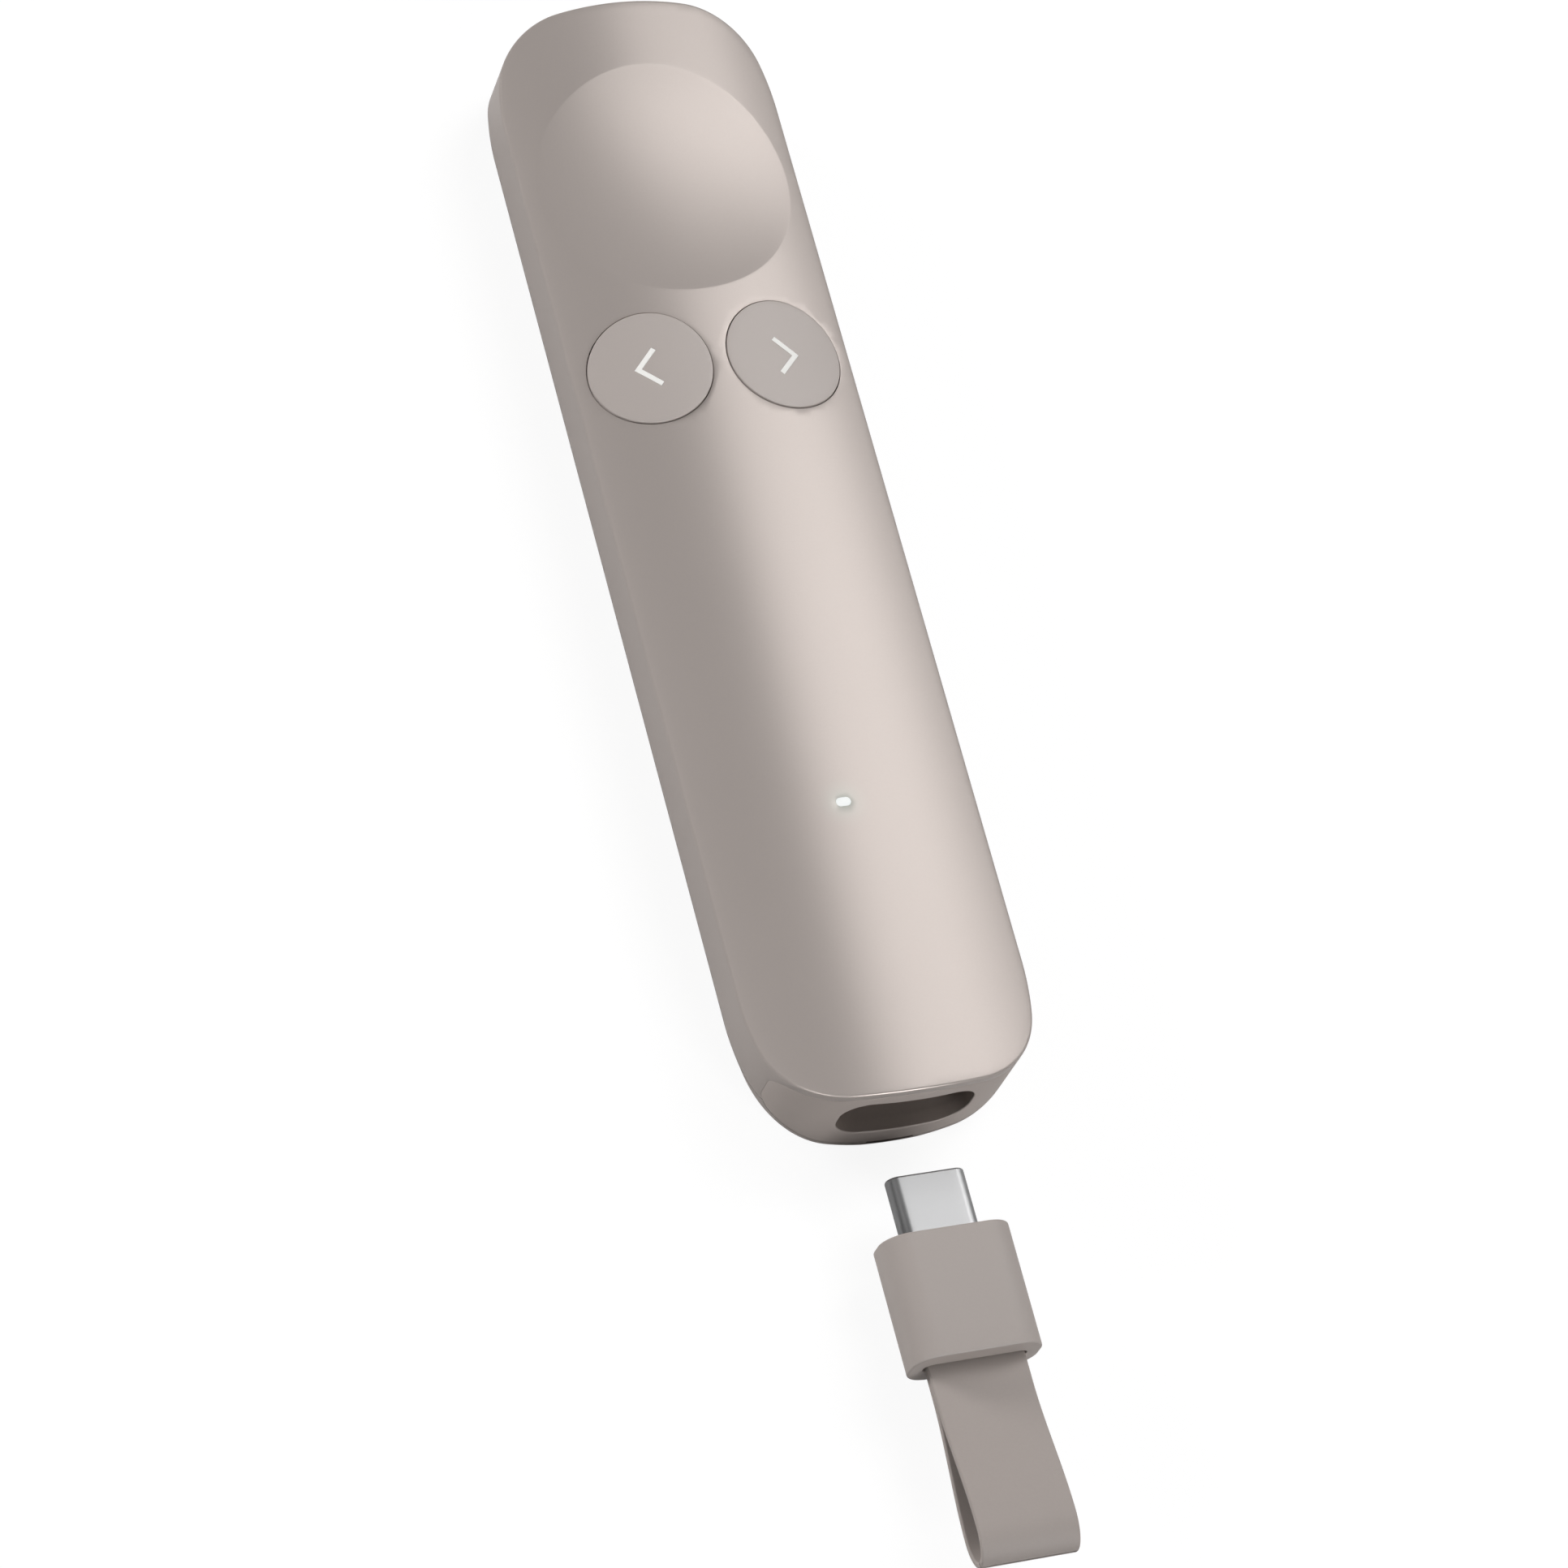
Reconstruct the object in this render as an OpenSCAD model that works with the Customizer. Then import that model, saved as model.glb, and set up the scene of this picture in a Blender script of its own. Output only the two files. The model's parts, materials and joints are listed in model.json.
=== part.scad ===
// Presentation clicker: a slim handset with a thumb dish, two round buttons and a status light,
// and a small receiver with a strap loop that stores in a pocket in the handset's tail.
// Origin: middle of the flat that the handset rests on. +Y runs to the far end, +Z is up.

/* [Handset] */
// Length of the handset
body_l = 126.3; // [122:0.1:140]
// Width of the handset
body_w = 30.3; // [30:0.1:33]
// Height of the straight side walls
side_h = 5.6; // [5.4:0.1:7.5]
// Rise of the crowned top above the side walls
top_crown = 3.25; // [3:0.05:4]
// Depth of the crowned underside below the side walls
under_crown = 4.75; // [4.6:0.05:6]
// Width of the flat that the handset rests on
rest_w = 6; // [4:0.5:9]
// Thickness of the moulded walls
wall = 1.5; // [1.3:0.05:1.6]

/* [Plan outline] */
// Radius of the arc across the tail
tail_end_r = 52; // [40:1:80]
// Radius of the arc across the far end
far_end_r = 59; // [40:1:80]
// Radius of the tail's corners
tail_corner_r = 9.2; // [8:0.1:10]
// Radius of the far end's corners
far_corner_r = 8.85; // [8:0.05:10]
// Radius of the long arc that leads from each side into its corner
shoulder_r = 27; // [22:1:34]
// Turn of that long arc, in degrees
shoulder_turn = 12; // [8:1:15]

/* [Thumb dish] */
// Band of shell left on each side of the dish
dish_side = 1.45; // [1:0.05:3]
// Band of shell left beyond the dish, at the far end
dish_end_band = 7.9; // [5.5:0.1:9]
// Depth of the dish below the crown
dish_depth = 1; // [0.6:0.05:1.3]

/* [Buttons] */
// Band of shell left outside each button hole
button_side = 1.4; // [1.1:0.05:3]
// Bridge of shell left between the two button holes
button_bridge = 1.7; // [1.4:0.1:3]
// Band of shell left between the dish and the button holes
button_band = 1.85; // [1.4:0.05:4]
// Gap round each button
button_gap = 0.15; // [0.1:0.01:0.25]
// How far a button goes down
button_travel = 0.4; // [0.2:0.05:0.5]
// How far the button faces stand above the crown
button_proud = 0.12; // [0.05:0.01:0.3]

/* [Status light] */
// Width of the light window
light_w = 1.6; // [1.2:0.1:2.4]
// Breadth of the light window along the handset
light_d = 1; // [0.8:0.1:1.1]
// Distance of the light window from the tail
light_from_tail = 31.5; // [30:0.5:33]

/* [End cap and pocket] */
// Band of shell left on each side of the end cap
cap_side = 1.55; // [1.35:0.05:2.6]
// Band of shell left above the end cap
cap_margin = 1; // [0.8:0.05:1.2]
// Lip of the underside left below the end cap
cap_lip = 0.6; // [0.5:0.05:0.9]
// Corner radius of the end cap
cap_corner_r = 2.5; // [1.5:0.1:2.7]
// Height of the pocket's middle above the rest
dock_z = 7.13; // [7:0.01:7.3]
// Clearance between the pocket and the receiver's grip
dock_gap = 0.25; // [0.2:0.01:0.3]
// Width of the slot under the pocket's mouth
notch_w = 5; // [3:0.5:8]
// Height of that slot
notch_h = 0.4; // [0.3:0.05:0.6]

/* [Receiver] */
// Width of the receiver's grip
grip_w = 13.65; // [13:0.05:14.2]
// Height of the grip
grip_h = 6.75; // [6.6:0.05:7]
// Length of the grip
grip_l = 12.8; // [12.6:0.1:14]
// Corner radius of the grip
grip_corner_r = 2.8; // [2.2:0.1:3.1]
// Width of the plug
plug_w = 8.25; // [8.2:0.01:8.34]
// Height of the plug
plug_h = 2.4; // [2.38:0.01:2.5]
// Length of plug that stands out of the grip
plug_l = 6.62; // [6.4:0.01:6.8]
// Distance of the plug's tip from the tail when it is pulled out
pulled_out = 6.83; // [3:0.01:12]

/* [Strap] */
// Width of the strap
strap_w = 10.2; // [8:0.1:10.6]
// Thickness of the strap
strap_t = 0.65; // [0.5:0.05:0.75]
// Length of the loop from the grip to its end
loop_l = 20.45; // [18:0.05:30]
// Height of the loop where it is widest
loop_h = 4.74; // [4:0.02:6.4]

/* [Hidden] */
$fn = 96;
// Steps of the large arcs
fine_fn = 4 * $fn;

// Colours
shell_colour = [0.70, 0.66, 0.63];
button_colour = [0.66, 0.62, 0.59];
mark_colour = [0.93, 0.93, 0.91];
inner_colour = [0.22, 0.20, 0.19];
board_colour = [0.10, 0.35, 0.20];
metal_colour = [0.80, 0.80, 0.80];
strap_colour = [0.62, 0.58, 0.55];

// Overrun of every cut past the face that it opens
over = 0.5;
// Gap between pieces that are pressed or screwed together
seat_gap = 0.05;
// How far a wedge reaches past the arc that it trims, as shares of that arc
wedge_share = 2.5;
// How far an arc is set past its neighbour's tangent
arc_lap = 0.003;
// How deep ribs and bosses bite into the wall that carries them
bite = wall / 2;

// Main levels and arcs of the handset
half_w = body_w / 2;
tail_y = -body_l / 2;
far_y = body_l / 2;
seam_z = under_crown;
rim_z = seam_z + side_h;
top_z = rim_z + top_crown;
crown_r = arc_radius(half_w, top_crown);
crown_axis_z = top_z - crown_r;
under_axis_z = (half_w ^ 2 + under_crown ^ 2 - (rest_w / 2) ^ 2) / (2 * under_crown);
under_r = sqrt((rest_w / 2) ^ 2 + under_axis_z ^ 2);

// Dish: a saddle cut whose rim is a circle seen from above
dish_r = half_w - dish_side;
dish_y = far_y - dish_end_band - dish_r;
dish_floor_z = top_z - dish_depth;
dish_long_r = arc_radius(dish_r, dish_depth);
dish_cross_r = arc_radius(dish_r, top_z - crown_height(dish_r) - dish_depth);
dish_back_r = dish_r - 1.5 * wall;
sensor_r = dish_back_r - 1;
dish_back_z = min(dish_floor_z - 1.4 * wall, crown_height(sensor_r, -wall));

// Button holes: as large as the bands beside them leave room for
button_hole_r = (half_w - button_side - button_bridge / 2) / 2;
button_x = button_hole_r + button_bridge / 2;
button_y = dish_y - dish_r - button_band - button_hole_r;

// Cover lip that locates the underside in the shell
lip_gap = 0.1;
lip_t = 0.9;
lip_h = 1.2;

// Pocket and docked receiver
mouth_w = grip_w + 2 * dock_gap;
mouth_h = grip_h + 2 * dock_gap;
mouth_r = grip_corner_r + dock_gap;
cap_half = half_w - cap_side;
cap_reach = 6.9;
cap_gap = 0.06;
sleeve_t = 0.8;
sleeve_end_t = 1;
dock_end_gap = 0.3;
dock_proud = 0.1;
grip_tail_y = tail_y - pulled_out - plug_l - grip_l;
grip_nose_y = grip_tail_y + grip_l;
plug_tip_y = grip_nose_y + plug_l;
dock_travel = tail_y - dock_proud - grip_tail_y;
pocket_end_y = grip_nose_y + dock_travel + dock_end_gap;
plug_docked_y = plug_tip_y + dock_travel;

// Socket at the bottom of the pocket
socket_gap = 0.1;
socket_t = 0.25;
socket_back_t = 0.8;
socket_in_w = plug_w + 2 * socket_gap;
socket_in_h = plug_h + 2 * socket_gap;
socket_w = socket_in_w + 2 * socket_t;
socket_h = socket_in_h + 2 * socket_t;
socket_stop_y = plug_docked_y + dock_end_gap;
socket_end_y = socket_stop_y + socket_back_t;
tongue_w = 6.7;
tongue_t = 0.7;
tongue_l = 5.4;

// Board and chassis
board_t = 0.9;
board_inset = 3.9;
board_top_z = dock_z - socket_h / 2 - seat_gap;
board_z = board_top_z - board_t;
board_y = pocket_end_y + sleeve_end_t + dock_end_gap;
chassis_t = 0.9;
chassis_side = 0.6;
chassis_end_gap = 9;
chassis_z = board_z - seat_gap - chassis_t;
chassis_half = sqrt((under_r - wall) ^ 2 - (under_axis_z - chassis_z) ^ 2) - chassis_side;
rail_x = 3;
rail_w = 1.2;
rail_gap = 0.25;
rail_z = under_height(rail_x + rail_w / 2, wall) + rail_gap;

// Pillars of the shell that take the board screws
pillar_x = 6.6;
pillar_r = 1.7;
pillar_tail_y = board_y + 3.9;
pillar_far_y = button_y + button_hole_r + 4.5;
screw_r = 0.7;
screw_head_r = 1.3;
screw_head_h = 0.7;
screw_bite = 4;
screw_gap = 0.06;

// Buttons
button_r = button_hole_r - button_gap;
guide_t = 1.2;
guide_z = crown_height(button_x + button_hole_r) - wall - 0.3 * wall;
tab_w = 4;
tab_t = 0.8;
tab_top_z = guide_z - seat_gap;
tab_reach = button_hole_r + 0.8 * guide_t;
button_base_z = tab_top_z - tab_t;
button_skin = 1.2;
button_hollow_r = button_r - 1.3;
button_hollow_z = crown_height(button_x + button_hollow_r) - button_skin;
stem_r = 1.3;
mark_arm = 3.2;
mark_stroke = 0.56;
mark_depth = 0.5;
mark_nose = 1.55;
mark_floor_z = crown_height(button_x + mark_nose) - mark_depth;

// Switches under the buttons
switch_w = 4.6;
switch_h = 1.5;
plunger_r = 1;
plunger_h = 0.5;
press_gap = 0.05;
stem_z = board_top_z + seat_gap + switch_h + plunger_h + button_travel + press_gap;

// Status light
light_y = tail_y + light_from_tail;
pipe_gap = 0.05;
pipe_foot = 0.6;
pipe_foot_t = 0.8;
led_h = 0.7;
led_gap = 0.3;

// Other pieces on the board
battery_w = 18;
battery_h = 4.2;
battery_corner_r = 1.2;
battery_gap = 3.5;
battery_y = light_y + 4;
battery_l = button_y - button_hole_r - guide_t - battery_gap - battery_y;
motor_r = 4.6;
motor_h = 2.8;
motor_step = 0.5;
sensor_t = 0.4;
flex_w = 5;
flex_t = 0.2;
flex_foot = 2;
antenna_w = 6.5;
antenna_l = 1.6;
antenna_h = 0.9;
antenna_y = far_y - board_inset - 2 * antenna_l;
shield_w = 11;
shield_h = 1.9;
shield_t = 0.2;
shield_gap = 1.6;
shield_y = dish_y + motor_r + shield_gap;
shield_l = antenna_y - shield_gap - shield_y;
chip_w = 4;
chip_h = 0.9;
chip_y = socket_end_y + 1.2;

// Receiver's inside
grip_t = 1.2;
plug_t = 0.3;
plug_root = 4;
plug_hole_gap = 0.05;
wafer_t = 0.3;
wafer_back = 5.6;
nose_t = 1.2;
pin_r = 0.5;
pin_gap = 0.04;
pin_end = 0.7;
bead_r = 1.25;
bead_gap = 0.2;
pin_y = grip_tail_y + 2.6;
cavity_y = pin_y + bead_r + bead_gap + 0.9 * grip_t;
cavity_w = grip_w - 2 * grip_t;
cavity_h = grip_h - 2 * grip_t;
cavity_r = grip_corner_r - grip_t;
dongle_board_t = 0.8;
dongle_board_w = cavity_w - 1.4 * cavity_r;
dongle_chip_w = 4;
dongle_chip_h = 0.8;

// Strap loop
slot_gap = 0.3;
loop_root = 3.1;
loop_nose = 3.35;
flank_steps = 14;
nose_steps = 12;
loop_belly_y = grip_tail_y - loop_l + loop_nose;
loop_split_y = grip_tail_y - loop_root;

function arc_radius(half, rise) = (half ^ 2 + rise ^ 2) / (2 * rise);
function crown_height(x, raise = 0) = crown_axis_z + sqrt((crown_r + raise) ^ 2 - x ^ 2);
function under_height(x, inset = 0) = under_axis_z - sqrt((under_r - inset) ^ 2 - x ^ 2);
function along(angle, reach) = [reach * cos(angle), reach * sin(angle)];
function smooth(t) = t * t * (3 - 2 * t);

// Points of one flank of the strap loop, from the split to the belly, at a given inset
function flank(inset) = [
    for (i = [0:flank_steps])
        let (t = i / flank_steps)
        [loop_split_y + (loop_belly_y - loop_split_y) * t,
         strap_t - inset + (loop_h / 2 - strap_t) * smooth(t)]
];
// Points of the loop's rounded end, from the upper flank to the lower one
function nose_arc(inset) = [
    for (i = [1:nose_steps - 1])
        let (a = 180 * i / nose_steps)
        [loop_belly_y - (loop_nose - inset) * sin(a), (loop_h / 2 - inset) * cos(a)]
];
function mirrored(points) = [for (i = [len(points) - 1:-1:0]) [points[i][0], -points[i][1]]];

// Part of a plane that lies between two directions from a point
module wedge(centre, from, to, reach) {
    polygon([centre, centre + along(from, reach), centre + along(to, reach)]);
}

// What an arc trims off a corner between two directions
module arc_trim(centre, r, inset, from, to) {
    difference() {
        wedge(centre, from, to, wedge_share * r);
        translate(centre) circle(r = r - inset, $fn = fine_fn);
    }
}

// Trim of one end, with that end towards +Y: an arc across it, and a corner and a shoulder arc at
// each side. Every arc is set a hair past its neighbour's tangent, so that the two cross cleanly.
module end_trim(end_r, corner_r, inset) {
    shoulder_x = half_w - shoulder_r + arc_lap;
    lead = shoulder_r - corner_r + arc_lap;
    corner_x = shoulder_x + lead * cos(shoulder_turn);
    end_c = [0, far_y - end_r];
    corner_c = [corner_x, end_c[1] + sqrt((end_r - corner_r + arc_lap) ^ 2 - corner_x ^ 2)];
    corner_turn = atan2(corner_c[1] - end_c[1], corner_c[0]);
    for (side = [0, 1]) mirror([side, 0]) {
        arc_trim(corner_c - along(shoulder_turn, lead), shoulder_r, inset, 0, 1.5 * shoulder_turn);
        arc_trim(corner_c, corner_r, inset, shoulder_turn, corner_turn);
    }
    arc_trim(end_c, end_r, inset, corner_turn - shoulder_turn, 180 - corner_turn + shoulder_turn);
}

// Outline of the handset seen from above, moved inwards by an inset
module plan_outline(inset) {
    difference() {
        square([body_w - 2 * inset, body_l - 2 * inset], center = true);
        end_trim(far_end_r, far_corner_r, inset);
        mirror([0, 1]) end_trim(tail_end_r, tail_corner_r, inset);
    }
}

// Round bar along the whole handset
module long_bar(r, z) {
    translate([0, 0, z]) rotate([90, 0, 0])
        cylinder(r = r, h = body_l + 2 * over, center = true, $fn = fine_fn);
}

// The handset's form moved inwards by an inset, above a height, with its crowned top
module top_form(inset, low) {
    intersection() {
        translate([0, 0, low]) linear_extrude(height = top_z + over - low) plan_outline(inset);
        long_bar(crown_r - inset, crown_axis_z);
    }
}

// The same with its crowned underside
module body_form(inset, low) {
    intersection() {
        top_form(inset, low);
        long_bar(under_r - inset, under_axis_z);
    }
}

// Extrudes an outline drawn in X and Z along Y
module along_y(from, to) {
    translate([0, to, 0]) rotate([90, 0, 0]) linear_extrude(height = to - from) children();
}

// Extrudes an outline drawn in Y and Z along X, centred
module along_x(length) {
    rotate([90, 0, 90]) linear_extrude(height = length, center = true) children();
}

module round_rect(w, h, r) {
    square([w - 2 * r, h], center = true);
    square([w, h - 2 * r], center = true);
    for (x = [-1, 1], y = [-1, 1])
        translate([x * (w / 2 - r), y * (h / 2 - r)]) circle(r = r);
}

module slot(w, d) {
    square([w - d, d], center = true);
    for (x = [-1, 1]) translate([x * (w - d) / 2, 0]) circle(r = d / 2);
}

// Rounded rectangle along the receiver's axis, between two places on Y
module dock_bar(w, h, r, from, to) {
    along_y(from, to) translate([0, dock_z]) round_rect(w, h, r);
}

module plug_bar(w, h, from, to) {
    along_y(from, to) translate([0, dock_z]) slot(w, h);
}

// Small box that stands on the main board
module on_board(w, l, h, y) {
    translate([-w / 2, y, board_top_z + seat_gap]) cube([w, l, h]);
}

module pillar_places() {
    for (x = [-pillar_x, pillar_x], y = [pillar_tail_y, pillar_far_y]) translate([x, y, 0]) children();
}

// Corner of the end cap: rounds the meeting of its side with a big arc above or below it
module cap_corner(arc_r, arc_z, way, inset) {
    r = cap_corner_r;
    x = cap_half - r + arc_lap;
    lift = sqrt((arc_r - r + arc_lap) ^ 2 - x ^ 2);
    centre = [x, arc_z + way * lift];
    turn = way * atan2(lift, x);
    arc_trim(centre, r, inset, min(0, turn), max(0, turn));
}

// Face of the end cap, bounded by the crown, the underside and two straight sides
module cap_outline(inset) {
    upper_r = crown_r - cap_margin;
    lower_r = under_r - cap_lip;
    difference() {
        intersection() {
            translate([-cap_half + inset, 0]) square([2 * (cap_half - inset), top_z]);
            translate([0, crown_axis_z]) circle(r = upper_r - inset, $fn = fine_fn);
            translate([0, under_axis_z]) circle(r = lower_r - inset, $fn = fine_fn);
        }
        for (side = [0, 1]) mirror([side, 0]) {
            cap_corner(upper_r, crown_axis_z, 1, inset);
            cap_corner(lower_r, under_axis_z, -1, inset);
        }
    }
}

module cap_opening() {
    along_y(tail_y - over, tail_y + cap_reach) cap_outline(0);
}

// Saddle-shaped cutter whose axis lies across the handset, high above the dish
module dish_cutter() {
    reach = half_w + over;
    translate([0, dish_y, dish_floor_z + dish_long_r]) rotate([0, 90, 0]) rotate_extrude()
        difference() {
            translate([0, -reach]) square([dish_long_r + dish_cross_r, 2 * reach]);
            translate([dish_long_r + dish_cross_r, 0]) circle(r = dish_cross_r, $fn = fine_fn);
        }
}

// Bosses inside the shell: button guides, backing of the dish and screw pillars
module shell_bosses() {
    intersection() {
        union() {
            for (side = [-1, 1]) translate([side * button_x, button_y, guide_z])
                cylinder(r = button_hole_r + guide_t, h = top_z - guide_z);
            translate([0, dish_y, dish_back_z]) cylinder(r = dish_back_r, h = top_z - dish_back_z);
            pillar_places() translate([0, 0, board_top_z + seat_gap]) cylinder(r = pillar_r, h = top_z);
        }
        top_form(bite, 0);
    }
}

module upper_shell() {
    color(shell_colour) difference() {
        union() {
            difference() {
                top_form(0, seam_z);
                top_form(wall, 0);
            }
            shell_bosses();
        }
        dish_cutter();
        for (side = [-1, 1]) translate([side * button_x, button_y, guide_z - over])
            cylinder(r = button_hole_r, h = top_z);
        translate([0, light_y, rim_z]) linear_extrude(height = top_z) slot(light_w, light_d);
        pillar_places() translate([0, 0, board_top_z]) cylinder(r = screw_r + screw_gap, h = screw_bite);
        cap_opening();
    }
}

module bottom_cover() {
    color(shell_colour) difference() {
        union() {
            difference() {
                intersection() {
                    linear_extrude(height = seam_z) plan_outline(0);
                    long_bar(under_r, under_axis_z);
                }
                body_form(wall, wall);
            }
            // Ledge below the seam, and the lip on it that enters the shell
            intersection() {
                translate([0, 0, seam_z - lip_h]) linear_extrude(height = 2 * lip_h) difference() {
                    plan_outline(wall + lip_gap);
                    plan_outline(wall + lip_gap + lip_t);
                }
                long_bar(under_r - bite, under_axis_z);
            }
            translate([0, 0, seam_z - lip_h]) intersection() {
                linear_extrude(height = lip_h) difference() {
                    plan_outline(bite);
                    plan_outline(wall + lip_gap + lip_t);
                }
                translate([0, 0, lip_h - seam_z]) long_bar(under_r - bite, under_axis_z);
            }
        }
        cap_opening();
        dock_bar(mouth_w + 2 * sleeve_t + 2 * cap_gap, mouth_h + 2 * sleeve_t + 2 * cap_gap,
                 mouth_r + sleeve_t + cap_gap, tail_y + wall, pocket_end_y);
    }
}

// Oval plug of the tail, with the pocket's mouth and the slot in its lower edge
module end_cap() {
    notch_z = under_axis_z - under_r + cap_lip;
    color(shell_colour) difference() {
        intersection() {
            difference() {
                body_form(0, 0);
                body_form(wall, 0);
            }
            along_y(tail_y - over, tail_y + cap_reach - seat_gap) cap_outline(cap_gap);
        }
        dock_bar(mouth_w, mouth_h, mouth_r, tail_y - over, tail_y + cap_reach);
        translate([-notch_w / 2, tail_y - over, notch_z - over])
            cube([notch_w, cap_reach, notch_h + over]);
    }
}

// Dark liner of the pocket, closed at its end but for the socket's window
module dock_sleeve() {
    color(inner_colour) difference() {
        intersection() {
            dock_bar(mouth_w + 2 * sleeve_t, mouth_h + 2 * sleeve_t, mouth_r + sleeve_t,
                     tail_y, pocket_end_y + sleeve_end_t);
            linear_extrude(height = top_z) plan_outline(wall + seat_gap);
        }
        dock_bar(mouth_w, mouth_h, mouth_r, tail_y - over, pocket_end_y);
        plug_bar(socket_w + 2 * seat_gap, socket_h + 2 * seat_gap,
                 pocket_end_y - over, pocket_end_y + sleeve_end_t + over);
    }
}

// Metal shell of the socket, flush with the pocket's end
module charging_socket() {
    color(metal_colour) difference() {
        plug_bar(socket_w, socket_h, pocket_end_y, socket_end_y);
        plug_bar(socket_in_w, socket_in_h, pocket_end_y - over, socket_end_y + over);
    }
}

module socket_tongue() {
    color(inner_colour) {
        plug_bar(socket_in_w - 2 * seat_gap, socket_in_h - 2 * seat_gap, socket_stop_y, socket_end_y);
        translate([-tongue_w / 2, socket_stop_y - tongue_l, dock_z - tongue_t / 2])
            cube([tongue_w, tongue_l + socket_back_t / 2, tongue_t]);
    }
}

// Inner frame: plate under the board on two rails that stand on the underside
module chassis() {
    frame_l = far_y - chassis_end_gap - board_y;
    color(inner_colour) difference() {
        union() {
            translate([0, board_y + frame_l / 2, chassis_z]) linear_extrude(height = chassis_t)
                round_rect(2 * chassis_half, frame_l, tail_corner_r / 3);
            for (side = [-1, 1]) translate([side * rail_x - rail_w / 2, board_y, rail_z])
                cube([rail_w, frame_l, chassis_z - rail_z + chassis_t / 2]);
        }
        pillar_places() translate([0, 0, chassis_z - over])
            cylinder(r = screw_r + screw_gap, h = chassis_t + 2 * over);
    }
}

module main_board() {
    color(board_colour) difference() {
        translate([0, 0, board_z]) linear_extrude(height = board_t) intersection() {
            plan_outline(board_inset);
            translate([-half_w, board_y]) square([body_w, body_l]);
        }
        pillar_places() translate([0, 0, board_z - over])
            cylinder(r = screw_r + screw_gap, h = board_t + 2 * over);
    }
}

// Four screws that hold chassis and board up against the pillars
module board_screws() {
    color(metal_colour) pillar_places() {
        translate([0, 0, chassis_z - screw_head_h]) cylinder(r = screw_head_r, h = screw_head_h);
        translate([0, 0, chassis_z - screw_head_h / 2])
            cylinder(r = screw_r, h = board_top_z + screw_bite - chassis_z);
    }
}

module battery() {
    color(metal_colour) translate([0, battery_y + battery_l / 2, board_top_z + seat_gap])
        linear_extrude(height = battery_h) round_rect(battery_w, battery_l, battery_corner_r);
}

// Coin motor with a stepped lid
module haptic_motor() {
    color(metal_colour) translate([0, dish_y, board_top_z + seat_gap]) {
        cylinder(r = motor_r, h = motor_h - motor_step);
        cylinder(r = motor_r - motor_step, h = motor_h);
    }
}

// Sensor pad stuck to the flat behind the dish
module touch_sensor() {
    color(board_colour) translate([0, dish_y, dish_back_z - seat_gap - sensor_t])
        cylinder(r = sensor_r, h = sensor_t);
}

// Ribbon from the sensor pad down to the board
module touch_flex() {
    y = dish_y - sensor_r + flex_t;
    low = board_top_z + seat_gap;
    high = dish_back_z - 2 * seat_gap - sensor_t;
    color(inner_colour) translate([-flex_w / 2, y, 0]) {
        translate([0, 0, low]) cube([flex_w, flex_foot, flex_t]);
        translate([0, 0, low]) cube([flex_w, flex_t, high - low]);
        translate([0, 0, high - flex_t]) cube([flex_w, flex_foot, flex_t]);
    }
}

module push_switch(side) {
    color(inner_colour) translate([side * button_x, button_y, board_top_z + seat_gap]) {
        translate([-switch_w / 2, -switch_w / 2, 0]) cube([switch_w, switch_w, switch_h]);
        cylinder(r = plunger_r, h = switch_h + plunger_h);
    }
}
module previous_switch() { push_switch(-1); }
module next_switch() { push_switch(1); }

module status_light() {
    color(mark_colour) on_board(light_w, light_d, led_h, light_y - light_d / 2);
}

// Clear bar from the light source up to the window, with a foot inside the shell
module light_pipe() {
    low = board_top_z + seat_gap + led_h + led_gap;
    foot_z = top_z - wall - seat_gap - pipe_foot_t;
    w = light_w - 2 * pipe_gap;
    d = light_d - 2 * pipe_gap;
    color(mark_colour) intersection() {
        translate([0, light_y, 0]) {
            translate([0, 0, low]) linear_extrude(height = top_z - low) slot(w, d);
            translate([0, 0, foot_z]) linear_extrude(height = pipe_foot_t)
                slot(w + 2 * pipe_foot, d + 2 * pipe_foot);
        }
        long_bar(crown_r, crown_axis_z);
    }
}

module radio_shield() {
    color(metal_colour) difference() {
        on_board(shield_w, shield_l, shield_h, shield_y);
        translate([0, 0, -shield_t]) on_board(shield_w - 2 * shield_t, shield_l - 2 * shield_t,
                                              shield_h, shield_y + shield_t);
    }
}

module antenna() {
    color(mark_colour)
        on_board(antenna_w, antenna_l, antenna_h, antenna_y);
}

module power_chip() {
    color(inner_colour) on_board(chip_w, chip_w, chip_h, chip_y);
}

// Arrow mark: two square-cut arms that meet at its nose, the whole depth of the button's face
module arrow_solid(side) {
    reach = mark_arm * cos(45) + mark_stroke;
    translate([side * (button_x + mark_nose), button_y, mark_floor_z])
        linear_extrude(height = top_z) mirror([side > 0 ? 1 : 0, 0]) intersection() {
            union() {
                rotate([0, 0, 45]) translate([0, -mark_stroke]) square([mark_arm, mark_stroke]);
                rotate([0, 0, -45]) square([mark_arm, mark_stroke]);
            }
            translate([0, -reach]) square([reach, 2 * reach]);
        }
}

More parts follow.
